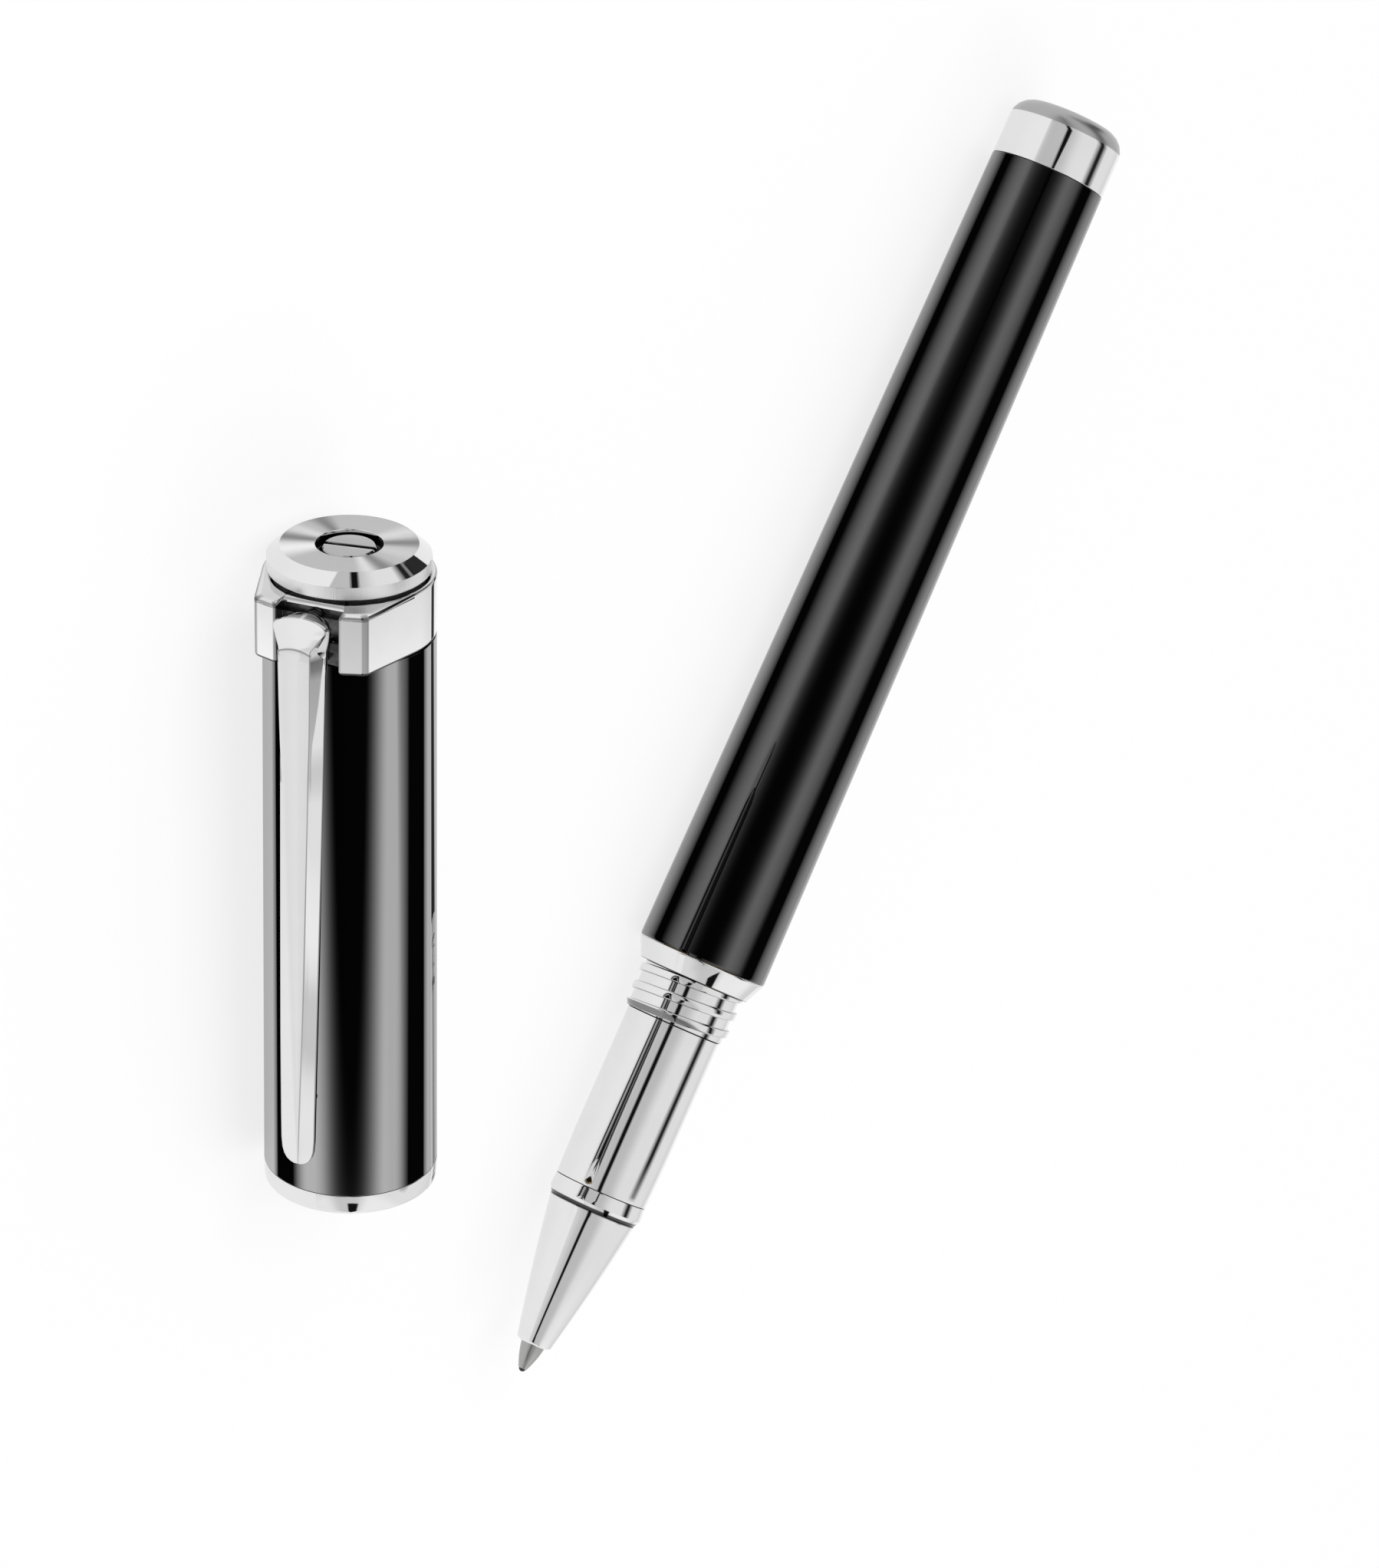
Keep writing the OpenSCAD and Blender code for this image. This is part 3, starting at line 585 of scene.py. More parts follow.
def plated_finish(name, place, roughness=0.035, shaded_edges=False, deep=None, arch_line=False,
                  tone_level=1.0, seams=(), lift=1.0, flanks=None):
    """Polished plating with the finest polishing lines round the piece.

    shaded_edges reads a loft's painted tones of shade and highlight, deep gives two heights between which painted
    shade darkens it downwards, arch_line draws the painted shade of the hollow line between the clip's panel and
    its head, seams are (height, half width) of dark lines round the piece, at the joints between parts or as a
    painted dark reflection, lift makes the plating paler, and flanks are two radii between which a thread's sides
    are painted darker, a painted shade, above a height. All these are painted tones, which stay under any light.
    """
    finish, skin, shading = new_finish(name)
    skin["Metallic"].default_value = 1.0
    where = shading.places(place)
    x, y, z = shading.axes(where)
    shade = shading.noise(where, 350, 0.97 * tone_level, tone_level)
    if shaded_edges:
        # The loft's painted shade, painted dark reflections and painted highlights
        painted = shading.node("Attribute", "Fac", {}, attribute_name=SHADE)
        shade = shading.times(shade, painted, 1 / lift)
    if flanks:
        # Painted shade on the thread's flanks, below each ridge
        low, high, start = flanks
        off = shading.apart(shading.from_axis(x, y), (low + high) / 2 * MM)
        line = shading.spread(off, (high - low) * 0.42 * MM, (high - low) * 0.5 * MM, 0.3, 1)
        before = shading.maths("LESS_THAN", z, start * MM)
        shade = shading.times(shade, shading.maths("MAXIMUM", line, before))
    for height, half in seams:
        # Dark lines at joints between parts, or a painted dark reflection band
        off = shading.apart(z, height * MM)
        shade = shading.times(shade, shading.spread(off, half * 0.6 * MM, half * MM, 0.08, 1))
    if deep:
        # Painted shade, darkening downwards into a hollow
        shade = shading.times(shade, shading.spread(z, *(depth * MM for depth in deep), 0.12, 1))
    if arch_line:
        # Painted shade of the hollow between the clip's panel and its head
        shade = shading.times(shade, painted_head_shade(shading, x, y, z))
    metal = (*(min(0.98, c * lift) for c in bpy.context.scene.pen_finishes.metal), 1)
    shading.put(skin["Base Color"], shading.mix(shade, (0, 0, 0, 1), metal))
    stretched = shading.node("Mapping", "Vector", {"Vector": where, "Scale": (300, 300, 9000)})
    shading.put(skin["Roughness"], shading.noise(stretched, 1.0, roughness * 0.7, roughness * 1.3, 2.0))
    return finish


def painted_head_shade(shading, x, y, z):
    """Painted shade of the bowed hollow line between the clip's panel and its head, with painted shade a little
    darker below it.
    """
    across = shading.maths("DIVIDE", y, MM)
    bow = shading.times(across, across, -0.16)
    off = shading.minus(shading.maths("DIVIDE", z, MM), shading.maths("ADD", bow, HEAD_LOW + 0.02))
    line = shading.spread(shading.maths("ABSOLUTE", off), 0.03, 0.13, 0.45, 1.0)
    below = shading.spread(off, -0.9, -0.1, 1.0, 0.86)
    line = shading.times(line, shading.maths("MAXIMUM", below, shading.spread(off, -0.05, 0.02)))
    line = shading.maths("MAXIMUM", line, shading.spread(shading.maths("ABSOLUTE", across), 1.3, 1.5))
    return shading.maths("MAXIMUM", line, shading.maths("LESS_THAN", x, 10.6 * MM))


def crown_finish(finish, end):
    """Makes the rounded end of the pen satin, below its polished side."""
    shading = Shading(finish.node_tree)
    skin = shading.nodes["Principled BSDF"].inputs
    height = shading.axes(shading.places(ON_PEN))[2]
    crown = shading.spread(height, (end - 1.72) * MM, (end - 1.62) * MM)
    satin = shading.mix(crown, skin["Base Color"].links[0].from_socket, (0.42, 0.42, 0.42, 1))
    shading.put(skin["Base Color"], satin)
    polish, stay = skin["Roughness"].links[0].from_socket, shading.minus(1.0, crown)
    shading.put(skin["Roughness"],
                shading.maths("ADD", shading.times(polish, stay), shading.times(crown, 0.3)))
    return finish


# ---------------------------------------------------------------- pieces of the pen

# Radii in millimetres of the hidden bores behind the shown surfaces
BARREL_BORE = 4.76
END_BORE = 3.52
SECTION_BORE = 3.82
NOSE_BORE = 3.48
CAP_BORE = 6.61
RING_BORE = 6.03


class PEN_OT_barrel(bpy.types.Operator):
    """Build the lacquered barrel and its polished end piece"""

    bl_idname = "pen.barrel"
    bl_label = "Barrel"

    def execute(self, context):
        sizes = context.scene.pen_sizes
        front, rear = sizes.barrel_d / MM / 2, sizes.barrel_tail_d / MM / 2
        seam = sizes.shoulder_at / MM
        tail = (TIP_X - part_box("end_finial")[1].x) / MM
        end = (TIP_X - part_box("end_finial")[0].x) / MM
        tube = turned("barrel_lacquer", [
            (BARREL_BORE, seam, 0.05), (front - 0.06, seam, 0.08), (front, seam + 0.25, 0.3),
            (rear, tail - 0.02, 0.04), (BARREL_BORE, tail - 0.02, 0.02),
        ], ON_PEN, ring=True, steps=192)
        tube.data.materials.append(lacquer_finish("Barrel lacquer", 1.9, BARREL_GLOSS))
        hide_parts("barrel_tube")
        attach(tube, "barrel")
        plate = crown_finish(plated_finish("End plating", ON_PEN), end)
        piece = turned("end_piece", [
            (0, tail + 3.5, 0), (END_BORE, tail + 3.5, 0), (END_BORE, tail + 0.02, 0),
            (rear - 0.005, tail + 0.02, 0.05), (rear - 0.04, end, 1.95), (0, end, 0),
        ], ON_PEN, steps=192)
        piece.data.materials.append(plate)
        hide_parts("end_finial")
        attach(piece, "barrel")
        return {"FINISHED"}


class PEN_OT_section(bpy.types.Operator):
    """Build the shoulder cone, threaded collar, grip, front ring and nose cone"""

    bl_idname = "pen.section"
    bl_label = "Section"

    def execute(self, context):
        sizes = context.scene.pen_sizes
        core = SECTION_BORE
        seam = sizes.shoulder_at / MM
        front_of_cone = (TIP_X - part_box("shoulder_cone")[1].x) / MM
        thread_from = (TIP_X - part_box("thread_collar")[1].x) / MM
        grip_from = (TIP_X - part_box("grip_sleeve")[1].x) / MM
        nose_end = (TIP_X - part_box("front_ring")[1].x) / MM
        grip, waist = sizes.grip_d / MM / 2, sizes.waist_d / MM / 2
        crest, root = sizes.thread_d / MM / 2, sizes.thread_root_d / MM / 2
        # The band just above the nose's end is a painted dark reflection across the front ring's lower chamfer;
        # the other seams are dark joints between the parts, and the thread's flanks get painted shade
        plate = plated_finish("Section plating", ON_PEN, seams=(
            (nose_end + 0.08, 0.27), (grip_from, 0.055), (thread_from - 0.02, 0.07), (front_of_cone, 0.09)),
            flanks=(root + 0.02, crest - 0.02, thread_from))
        cone = turned("shoulder_cone_polished", [
            (core, front_of_cone + 0.02, 0), (5.325, front_of_cone + 0.02, 0.06), (6.15, seam - 0.17, 0.05),
            (6.13, seam - 0.06, 0.03), (core, seam - 0.06, 0),
        ], ON_PEN, ring=True)
        grip_piece = turned("grip_polished", [
            (core, thread_from - 0.02, 0), (grip - 0.04, thread_from - 0.02, 0.03),
            (grip, thread_from - 0.1, 0.03), (grip, thread_from - 11.1, 0)]
            + arch((grip, thread_from - 11.1), (waist, grip_from), 0.02, 8)
            + [(waist, grip_from + 0.02, 0.02), (core, grip_from + 0.02, 0)], ON_PEN, ring=True)
        ring = turned("front_ring_polished", [
            (NOSE_BORE, nose_end + 0.01, 0), (4.19, nose_end + 0.01, 0.03), (4.52, nose_end + 0.62, 0.12),
            (4.50, nose_end + 0.95, 0.3), (waist + 0.01, nose_end + 1.8, 0.2),
            (waist, grip_from - 0.02, 0.02), (NOSE_BORE, grip_from - 0.02, 0),
        ], ON_PEN, ring=True)
        nose = turned("nose_polished", [
            (NOSE_BORE, nose_end - 0.02, 0), (4.185, nose_end - 0.02, 0.04)]
            + arch((4.2, nose_end - 0.02), (1.7, 3.0), 0.12, 20)
            + [(1.7, 2.95, 0.2), (1.42, 2.75, 0.12), (1.21, 2.8, 0.08), (1.21, 7.4, 0), (1.96, 7.4, 0),
               (1.96, nose_end - 2.0, 0), (NOSE_BORE, nose_end - 2.0, 0)], ON_PEN, ring=True)
        pitch = sizes.thread_pitch / MM
        ridge = [
            (root, 0), (root, pitch * 0.28), (crest - 0.03, pitch * 0.33), (crest, pitch * 0.36),
            (crest, pitch * 0.68), (crest - 0.03, pitch * 0.71), (root, pitch * 0.76), (root, pitch),
        ]
        thread = threaded("cap_thread", ridge, thread_from, front_of_cone, pitch, core, ON_PEN,
                          fade=0.55, root=root)
        for piece, node in ((cone, "shoulder_cone"), (grip_piece, "grip_sleeve"), (ring, "front_ring"),
                            (nose, "nose_cone"), (thread, "thread_collar")):
            piece.data.materials.append(plate)
            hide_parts(node)
            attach(piece, "section")
        return {"FINISHED"}


# The inked ball's radius
BALL_RADIUS = 0.35


class PEN_OT_refill_tip(bpy.types.Operator):
    """Build the metal writing tip and its ball"""

    bl_idname = "pen.refill_tip"
    bl_label = "Refill tip"

    def execute(self, context):
        sizes = context.scene.pen_sizes
        size = sizes.tip_d / MM / 2
        tip = turned("writing_tip", [
            (0, 0.62, 0), (0.18, 0.62, 0), (0.375, 0.42, 0), (0.375, 0.3, 0.03), (0.42, 0.33, 0.03)]
            + arch((0.42, 0.34), (size, 2.75), 0.09, 12)
            + [(size, 2.75, 0.3), (size, 12.0, 0.05), (0, 12.0, 0)], ON_PEN, steps=96)
        finish, skin, shading = new_finish("Turned tip metal")
        skin["Metallic"].default_value = 1.0
        skin["Base Color"].default_value = (0.4, 0.4, 0.39, 1)
        where = shading.places(ON_PEN)
        rings = shading.node("Mapping", "Vector", {"Vector": where, "Scale": (100, 100, 14000)})
        shading.put(skin["Roughness"], shading.noise(rings, 1.0, 0.16, 0.34, 2.0))
        tip.data.materials.append(finish)
        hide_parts("refill_tip")
        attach(tip, "refill")
        nothing_selected()
        bpy.ops.mesh.primitive_uv_sphere_add(
            segments=48, ring_count=24, radius=BALL_RADIUS * MM, location=(0, 0, BALL_RADIUS * MM))
        ball = finish_piece(bpy.context.object, "inked_ball", ON_PEN, 60)
        finish, skin, shading = new_finish("Inked ball")
        shading.put(skin["Roughness"], shading.noise(shading.places(), 2500, 0.12, 0.3))
        skin["Base Color"].default_value = (0.01, 0.01, 0.012, 1)
        ball.data.materials.append(finish)
        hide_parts("writing_ball")
        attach(ball, "ball")
        return {"FINISHED"}


# ---------------------------------------------------------------- pieces of the cap


class PEN_OT_cap_shell(bpy.types.Operator):
    """Build the cap's lacquered tube and the polished ring at its mouth"""

    bl_idname = "pen.cap_shell"
    bl_label = "Cap shell"

    def execute(self, context):
        sizes = context.scene.cap_sizes
        mouth, top = sizes.mouth_d / MM / 2, sizes.top_d / MM / 2
        ring_h = sizes.ring_h / MM
        tube = turned("cap_lacquer", [
            (CAP_BORE, ring_h + 0.01, 0), (mouth - 0.01, ring_h + 0.01, 0.05), (top, COLLAR_LOW - 0.01, 0.03),
            (CAP_BORE, COLLAR_LOW - 0.01, 0),
        ], ON_CAP, ring=True, steps=224)
        tube.data.materials.append(lacquer_finish("Cap lacquer", 3.0, CAP_GLOSS, ON_CAP))
        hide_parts("cap_tube")
        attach(tube, "cap")
        ring = turned("cap_mouth_ring", [
            (5.78, ring_h + 0.05, 0), (5.78, 0.9, 0.2), (6.05, 0.12, 0.1), (6.2, 0.0, 0.08),
            (mouth - 0.02, 0, 0.45), (mouth, ring_h - 0.02, 0.05), (6.57, ring_h - 0.02, 0), (6.57, 5.85, 0),
            (RING_BORE, 5.85, 0), (RING_BORE, ring_h + 0.05, 0),
        ], ON_CAP, ring=True, steps=192)
        ring.data.materials.append(plated_finish("Cap plating", ON_CAP))
        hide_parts("mouth_ring")
        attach(ring, "cap")
        return {"FINISHED"}


# The clip collar and the disc in the cap's own frame, in millimetres: x towards the clip, z from the mouth
COLLAR_LOW, COLLAR_HIGH = 52.1, 57.65
DISC_LOW, DISC_HIGH = 57.9, 60.0
COLLAR_R = 7.3
COLLAR_BORE = 4.53
EAR_R = 9.05
EAR_SLANT = math.radians(18)
EAR_WIDTH = 2.35
WINDOW_HALF = 2.8
WINDOW_BACK = 7.15
POCKET_BACK = 6.62
POCKET_LIP = 0.42
COLLAR_ROUND = 0.27
# How dark the painted line along a polished edge is, a painted dark reflection in the edge's rounding
PAINTED_EDGE_LINE = 0.6


def meeting(first, second):
    """Where two lines meet, each given by its normal's angle and its distance from the axis."""
    (a, p), (b, q) = first, second
    across = math.sin(b - a)
    return (p * math.sin(b) - q * math.sin(a)) / across, (q * math.cos(a) - p * math.cos(b)) / across


def collar_outline(inset, back):
    """The collar seen along the cap, drawn in by an inset: its window, two ears and round back."""
    ear = (EAR_SLANT, EAR_R - inset)
    inner = meeting(ear, (math.pi / 2, WINDOW_HALF + inset))
    tip = Vector(meeting((EAR_SLANT, EAR_R), (math.pi / 2, WINDOW_HALF))) + EAR_WIDTH * Vector(
        (-math.sin(EAR_SLANT), math.cos(EAR_SLANT)))
    flat_r = COLLAR_R - 0.02
    turn = math.atan2(tip.y, tip.x) + math.acos(flat_r / tip.length)
    outer = meeting(ear, (turn, flat_r - inset))
    side = [
        (WINDOW_BACK - inset - back, WINDOW_HALF + inset, 0.06), (*inner, 0.3), (*outer, 0.42),
    ]
    round_back = [
        ((flat_r - inset) * math.cos(turn + step), (flat_r - inset) * math.sin(turn + step), 0)
        for step in [k / 72 * (2 * math.pi - 2 * turn) for k in range(73)]
    ]
    mirrored = [(x, -y, cut) for x, y, cut in reversed(side)]
    return soft_corners(side + round_back + mirrored, 6)


def collar_top(x, y):
    """Height of the collar's top: flat round the disc, then sloping away over the ears."""
    size = math.hypot(x, y)
    slope = max(0.0, size - 7.42)
    return COLLAR_HIGH - slope * 0.17 - max(0.0, size - 9.15) * 0.35


def collar_rings():
    """Rings of the collar's skin, from the bore's foot round the outside and back, with painted tones: painted
    light brighter towards the foot, painted shade on the lower rounding and in the bore, and painted dark lines
    along edges.
    """
    rings = []

    def ring(inset, height, back=0.0, top=False, shade=1.0):
        points = []
        for x, y, t, _ in collar_outline(inset, back):
            z = collar_top(x, y) - height if top else COLLAR_LOW + height
            # Painted light: the collar is painted brighter towards its foot, with painted dark lines along its
            # corners
            slope = 1.15 - 0.17 * (z - COLLAR_LOW) / (COLLAR_HIGH - COLLAR_LOW)
            points.append((x, y, z, shade * slope * edge_shade(t, PAINTED_EDGE_LINE)))
        rings.append(points)

    ease = COLLAR_ROUND
    quarter = [math.radians(a) for a in (0, 15, 30, 45, 60, 75, 90)]
    for a in quarter:
        # Painted shade on the lower rounding, up to its last ring
        low = 1.0 if a == quarter[-1] else 0.06
        ring(0.3 * (1 - math.sin(a)), 0.34 * (1 - math.cos(a)), shade=low)
    for height in (0.36, 1.5, 3.0, 4.3):
        ring(0, height)
    lip = COLLAR_HIGH - POCKET_LIP - COLLAR_LOW
    ring(0, 4.31, WINDOW_BACK - POCKET_BACK)
    ring(0, lip - 0.04, WINDOW_BACK - POCKET_BACK)
    ring(0, lip)
    ring(0, lip + 0.02)
    for a in reversed(quarter):
        # A painted dark line along the top rounding
        tone = 1 - PAINTED_EDGE_LINE * math.sin(2 * a) ** 2
        ring(ease * (1 - math.sin(a)), ease * (1 - math.cos(a)), top=True, shade=tone)
    last = rings[-1]
    for share in (0.25, 0.5, 0.75, 1.0):
        drawn = []
        for x, y, *_ in last:
            pull = 1 - share + share * 6.95 / math.hypot(x, y)
            # The top's slope to the disc is painted a little darker
            drawn.append((x * pull, y * pull, collar_top(x * pull, y * pull), 0.82))
        rings.append(drawn)
    for height in (COLLAR_HIGH, COLLAR_LOW):
        # The bore is painted darker: painted shade inside it
        rings.append([(x * COLLAR_BORE / math.hypot(x, y), y * COLLAR_BORE / math.hypot(x, y), height, 0.5)
                      for x, y, *_ in last])
    return rings


def in_window(middle):
    """The collar's second finish, for faces inside the window that holds the clip."""
    inside = abs(middle.y) < WINDOW_HALF + 0.04 and 6.0 < middle.x < 8.35
    return 1 if inside and middle.z < COLLAR_HIGH - POCKET_LIP + 0.03 else 0


def pocket_shade_finish():
    """The inside of the clip's window: rough metal painted near black, a painted shade in the deep pocket."""
    finish, skin, shading = new_finish("Window inside in painted shade")
    skin["Metallic"].default_value = 1.0
    where = shading.places()
    # Painted shade: a near black grey
    grey = shading.noise(where, 1500, 0.05, 0.12)
    shading.put(skin["Base Color"], shading.node("CombineColor", "Color", {0: grey, 1: grey, 2: grey}))
    shading.put(skin["Roughness"], shading.noise(where, 2500, 0.25, 0.4))
    return finish


class PEN_OT_cap_head(bpy.types.Operator):
    """Build the clip collar, the brushed and turned top disc, and its slotted screw"""

    bl_idname = "pen.cap_head"
    bl_label = "Cap head"

    def execute(self, context):
        sizes = context.scene.cap_sizes
        plating = plated_finish("Collar plating", ON_CAP, shaded_edges=True, lift=1.15)
        collar = lofted(
            "clip_collar_polished", collar_rings(), ON_CAP, closed=True, finishes=(plating, pocket_shade_finish()),
            pick=in_window,
        )
        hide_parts("clip_collar")
        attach(collar, "cap")
        rim, face = sizes.disc_d / MM / 2, sizes.face_d / MM / 2
        low, high = DISC_LOW, DISC_HIGH
        disc = turned("top_disc_polished", [
            (1.22, low, 0), (rim - 0.05, low, 0.05), (rim, low + 0.1, 0.05), (rim, low + 1.15, 0.05),
            (face, high, 0.05), (2.85, high, 0.06), (2.78, high - 0.93, 0.08), (1.22, high - 0.95, 0),
        ], ON_CAP, ring=True, steps=192)
        disc.data.materials.append(turned_disc_finish(rim, low, high))
        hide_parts("top_disc")
        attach(disc, "cap")
        screw = eased_copy("slotted_screw", "slotted_screw_polished", 0.05 * MM, limit=20)
        # The screw is painted darker all over by tone_level, and painted shade darkens it below its face
        plating = plated_finish("Screw plating", ON_CAP, 0.08, deep=(59.45, 59.72), tone_level=0.55)
        screw.data.materials.append(plating)
        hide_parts("slotted_screw")
        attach(screw, "cap")
        return {"FINISHED"}


# Painted sheen of the turned face, painted highlights and dark reflections: its level between the streaks, and
# each streak's turn from the side away from the clip and its half width, in degrees, with its change of level
DISC_PAINTED_LEVEL = 0.52
DISC_PAINTED_STREAKS = (
    (50, 15, -0.3), (80, 15, 0.2), (100, 15, -0.3), (125, 25, 0.4), (220, 12, 0.25), (235, 15, -0.3),
    (270, 20, 0.1), (295, 15, -0.3), (320, 20, 0.2),
)


def turned_disc_finish(rim, low, high):
    """Polished plating with a face turned in fine circles and a rim brushed along the axis.

    The face's bright and dark streaks are a painted sheen, painted highlights and dark reflections by angle, and
    stay under any light.
    """
    finish, skin, shading = new_finish("Disc plating")
    metal = (*bpy.context.scene.pen_finishes.metal, 1)
    skin["Metallic"].default_value = 1.0
    x, y, z = shading.axes(shading.places(ON_CAP))
    across = shading.from_axis(x, y)
    turn = shading.maths("ARCTAN2", y, x)
    on_face = shading.maths("GREATER_THAN", z, (high - 0.01) * MM)
    on_rim = shading.times(shading.maths("GREATER_THAN", across, (rim - 0.03) * MM),
                           shading.maths("LESS_THAN", z, (low + 1.13) * MM))
    degrees = shading.maths("ADD", shading.times(turn, 180 / math.pi), 180)
    sheen = DISC_PAINTED_LEVEL
    for middle, half, change in DISC_PAINTED_STREAKS:
        streak = shading.spread(shading.apart(degrees, middle), 0, half, change, 0, soft=True)
        sheen = shading.maths("ADD", sheen, streak)
    streaks = shading.mix(on_face, metal, sheen)
    # The bore round the screw is painted near black: painted shade
    painted_bore_shade = shading.maths("LESS_THAN", across, 2.83 * MM)
    shading.put(skin["Base Color"], shading.mix(painted_bore_shade, streaks, (0.05, 0.05, 0.05, 1)))
    circles = shading.node("TexNoise", "Fac", {"Scale": 26000, "W": across}, noise_dimensions="1D")
    strokes = shading.node("TexNoise", "Fac", {"Scale": 60, "W": turn}, noise_dimensions="1D")
    rough = shading.maths("ADD", shading.times(on_face, 0.27), shading.times(on_rim, 0.32))
    shading.put(skin["Roughness"], shading.maths("ADD", rough, 0.035))
    relief = shading.maths("ADD", shading.times(on_face, circles), shading.times(on_rim, strokes))
    shading.put(skin["Normal"], shading.bump(relief, 0.6, 0.02 * MM))
    return finish


# The clip's front from its tip to its head, in millimetres. Each row is the height from the mouth, the half
# widths of the flat panel, of the ridge beside it and of the bar, and how far ridge and edge fall back
CLIP_FRONT = 11.0
CLIP_STATIONS = (
    (6.68, 0.03, 0.10, 0.40, 0.00, 0.03), (6.78, 0.04, 0.22, 0.70, 0.01, 0.05),
    (7.05, 0.05, 0.32, 1.05, 0.01, 0.06), (7.45, 0.06, 0.36, 1.29, 0.01, 0.07),
    (8.0, 0.08, 0.40, 1.45, 0.01, 0.08), (9.0, 0.11, 0.44, 1.54, 0.02, 0.09),
    (11.0, 0.19, 0.52, 1.57, 0.03, 0.12), (15.0, 0.34, 0.68, 1.63, 0.06, 0.24),
    (19.0, 0.50, 0.82, 1.69, 0.10, 0.38), (25.0, 0.70, 1.02, 1.76, 0.17, 0.62),
    (33.0, 0.93, 1.19, 1.85, 0.27, 0.95), (38.0, 1.07, 1.28, 1.90, 0.29, 1.15),
    (41.0, 1.15, 1.30, 1.93, 0.25, 1.27), (43.3, 1.20, 1.33, 1.95, 0.24, 1.34),
    (44.9, 1.26, 1.36, 1.97, 0.19, 1.39), (46.6, 1.32, 1.45, 1.98, 0.25, 1.45),
    (47.9, 1.34, 1.59, 2.00, 0.47, 1.48), (50.0, 1.37, 1.79, 2.03, 0.78, 1.54),
    (52.3, 1.39, 1.95, 2.06, 1.04, 1.60), (54.0, 1.40, 2.08, 2.12, 1.26, 1.66),
)
# The pin's distance from the cap's axis and height, and the knuckle around it
PIN_AT = (7.85, 54.25)
PIN_BORE = 0.51
KNUCKLE_R = 0.92
KNUCKLE_DEPTH = 0.96
KNUCKLE_HALF = 2.0
KNUCKLE_STEPS = 48
# The foot under the clip's end
FOOT_AT = 11.7
FOOT_TOP = 10.4
FOOT_END = 7.65
FOOT_BASE_R = 0.95
FOOT_END_R = 0.42
HEAD_LOW, HEAD_TOP = 54.95, 57.16
HEAD_HALF = 2.45
HEAD_SLOPE = 0.636
HEAD_WIDEST = 56.4


def clip_back(z):
    """Distance of the clip's back from the cap's axis."""
    for low, high, start, end in ((0, 9, 10.35, 10.2), (9, 50, 10.2, 9.45), (50, 51.7, 9.45, 9.35),
                                  (51.7, 52.9, 9.35, 8.6), (52.9, 55, 8.6, 8.6), (55, 55.4, 8.6, 8.3)):
        if z <= high:
            return start + (end - start) * (z - low) / (high - low)
    return 8.3


def shaded(corners, shades, lines, z, steps=5):
    """One section across the clip, as (distance from the axis, across, height, shade) points.

    corners run round the section, shades give the painted tone of the face after each corner, and lines the
    darkness of each edge's painted dark line.
    """
    points = []
    for y, x, t, i in soft_corners(corners, steps):
        tone = shades[i - 1] * (1 - t) + shades[i] * t
        points.append((x, y, z, tone * edge_shade(t, lines[i])))
    return points


def clip_section(z, panel, ridge, half, ridge_drop, edge_drop, soft=0.08):
    """One section across the clip's bar."""
    front = CLIP_FRONT
    wall = min(0.42, max(0.2, front - edge_drop - clip_back(z)))
    foot = min(clip_back(z), front - edge_drop - wall)
    # The flank is painted grey high up: a painted reflection
    flank = 0.74 if z > 43 else 1.0
    right = [
        (panel, front, min(0.08, panel * 0.9)), (ridge, front - ridge_drop, soft),
        (half, front - edge_drop, 0.09),
        (half - 0.01, front - edge_drop - wall, 0.09), (half * 0.62, foot, 0.1),
    ]
    left = [(-y, x, cut) for y, x, cut in reversed(right)]
    left[-1] = (-panel, front, min(0.3, panel * 0.6))
    corners = right + left + [(-panel * 0.15, front + panel * 0.03, panel * 0.4)]
    # Painted tones of each face in turn: painted shade on the side walls and back, a painted highlight on the long
    # facet, slightly darker panel halves, and painted dark reflection lines along the edges
    shades = [flank, 1.03, 0.35, 0.2, 0.2, 0.2, 0.4, 1.0, 1.0, 0.90, 0.96]
    lines = [0.45, 0.25 if z > 43 else 0.0, 0.45, 0.3, 0, 0, 0.3, 0.35, 0, 0.0, 0.0]
    return shaded(corners, shades, lines, z)


def clip_rings():
    """Sections of the clip from its tip to the top of its head."""
    rings = [clip_section(*row) for row in CLIP_STATIONS]
    steps = 7
    for k in range(steps + 1):
        z = 54.5 + (HEAD_WIDEST - 54.5) * k / steps
        rise = max(0.0, z - HEAD_LOW)
        share = k / steps
        half = 2.14 + (HEAD_HALF - 2.14) * math.sin(share * math.pi / 2)
        panel = min(half - 0.06, 1.41 + rise * 0.66)
        edge = 1.66 - 0.1 * share
        rings.append(head_section(z, panel, half, rise * HEAD_SLOPE, edge))
    steps = 9
    for k in range(1, steps + 1):
        z = HEAD_WIDEST + (HEAD_TOP - HEAD_WIDEST) * math.sin(k / steps * math.pi / 2)
        rise = (z - HEAD_WIDEST) / (HEAD_TOP - HEAD_WIDEST)
        half = max(0.25, HEAD_HALF * math.sqrt(max(0.0, 1 - rise ** 2)))
        drop = (z - HEAD_LOW) * HEAD_SLOPE
        rings.append(head_section(z, half - 0.06, half, drop, drop + 0.25))
    return rings


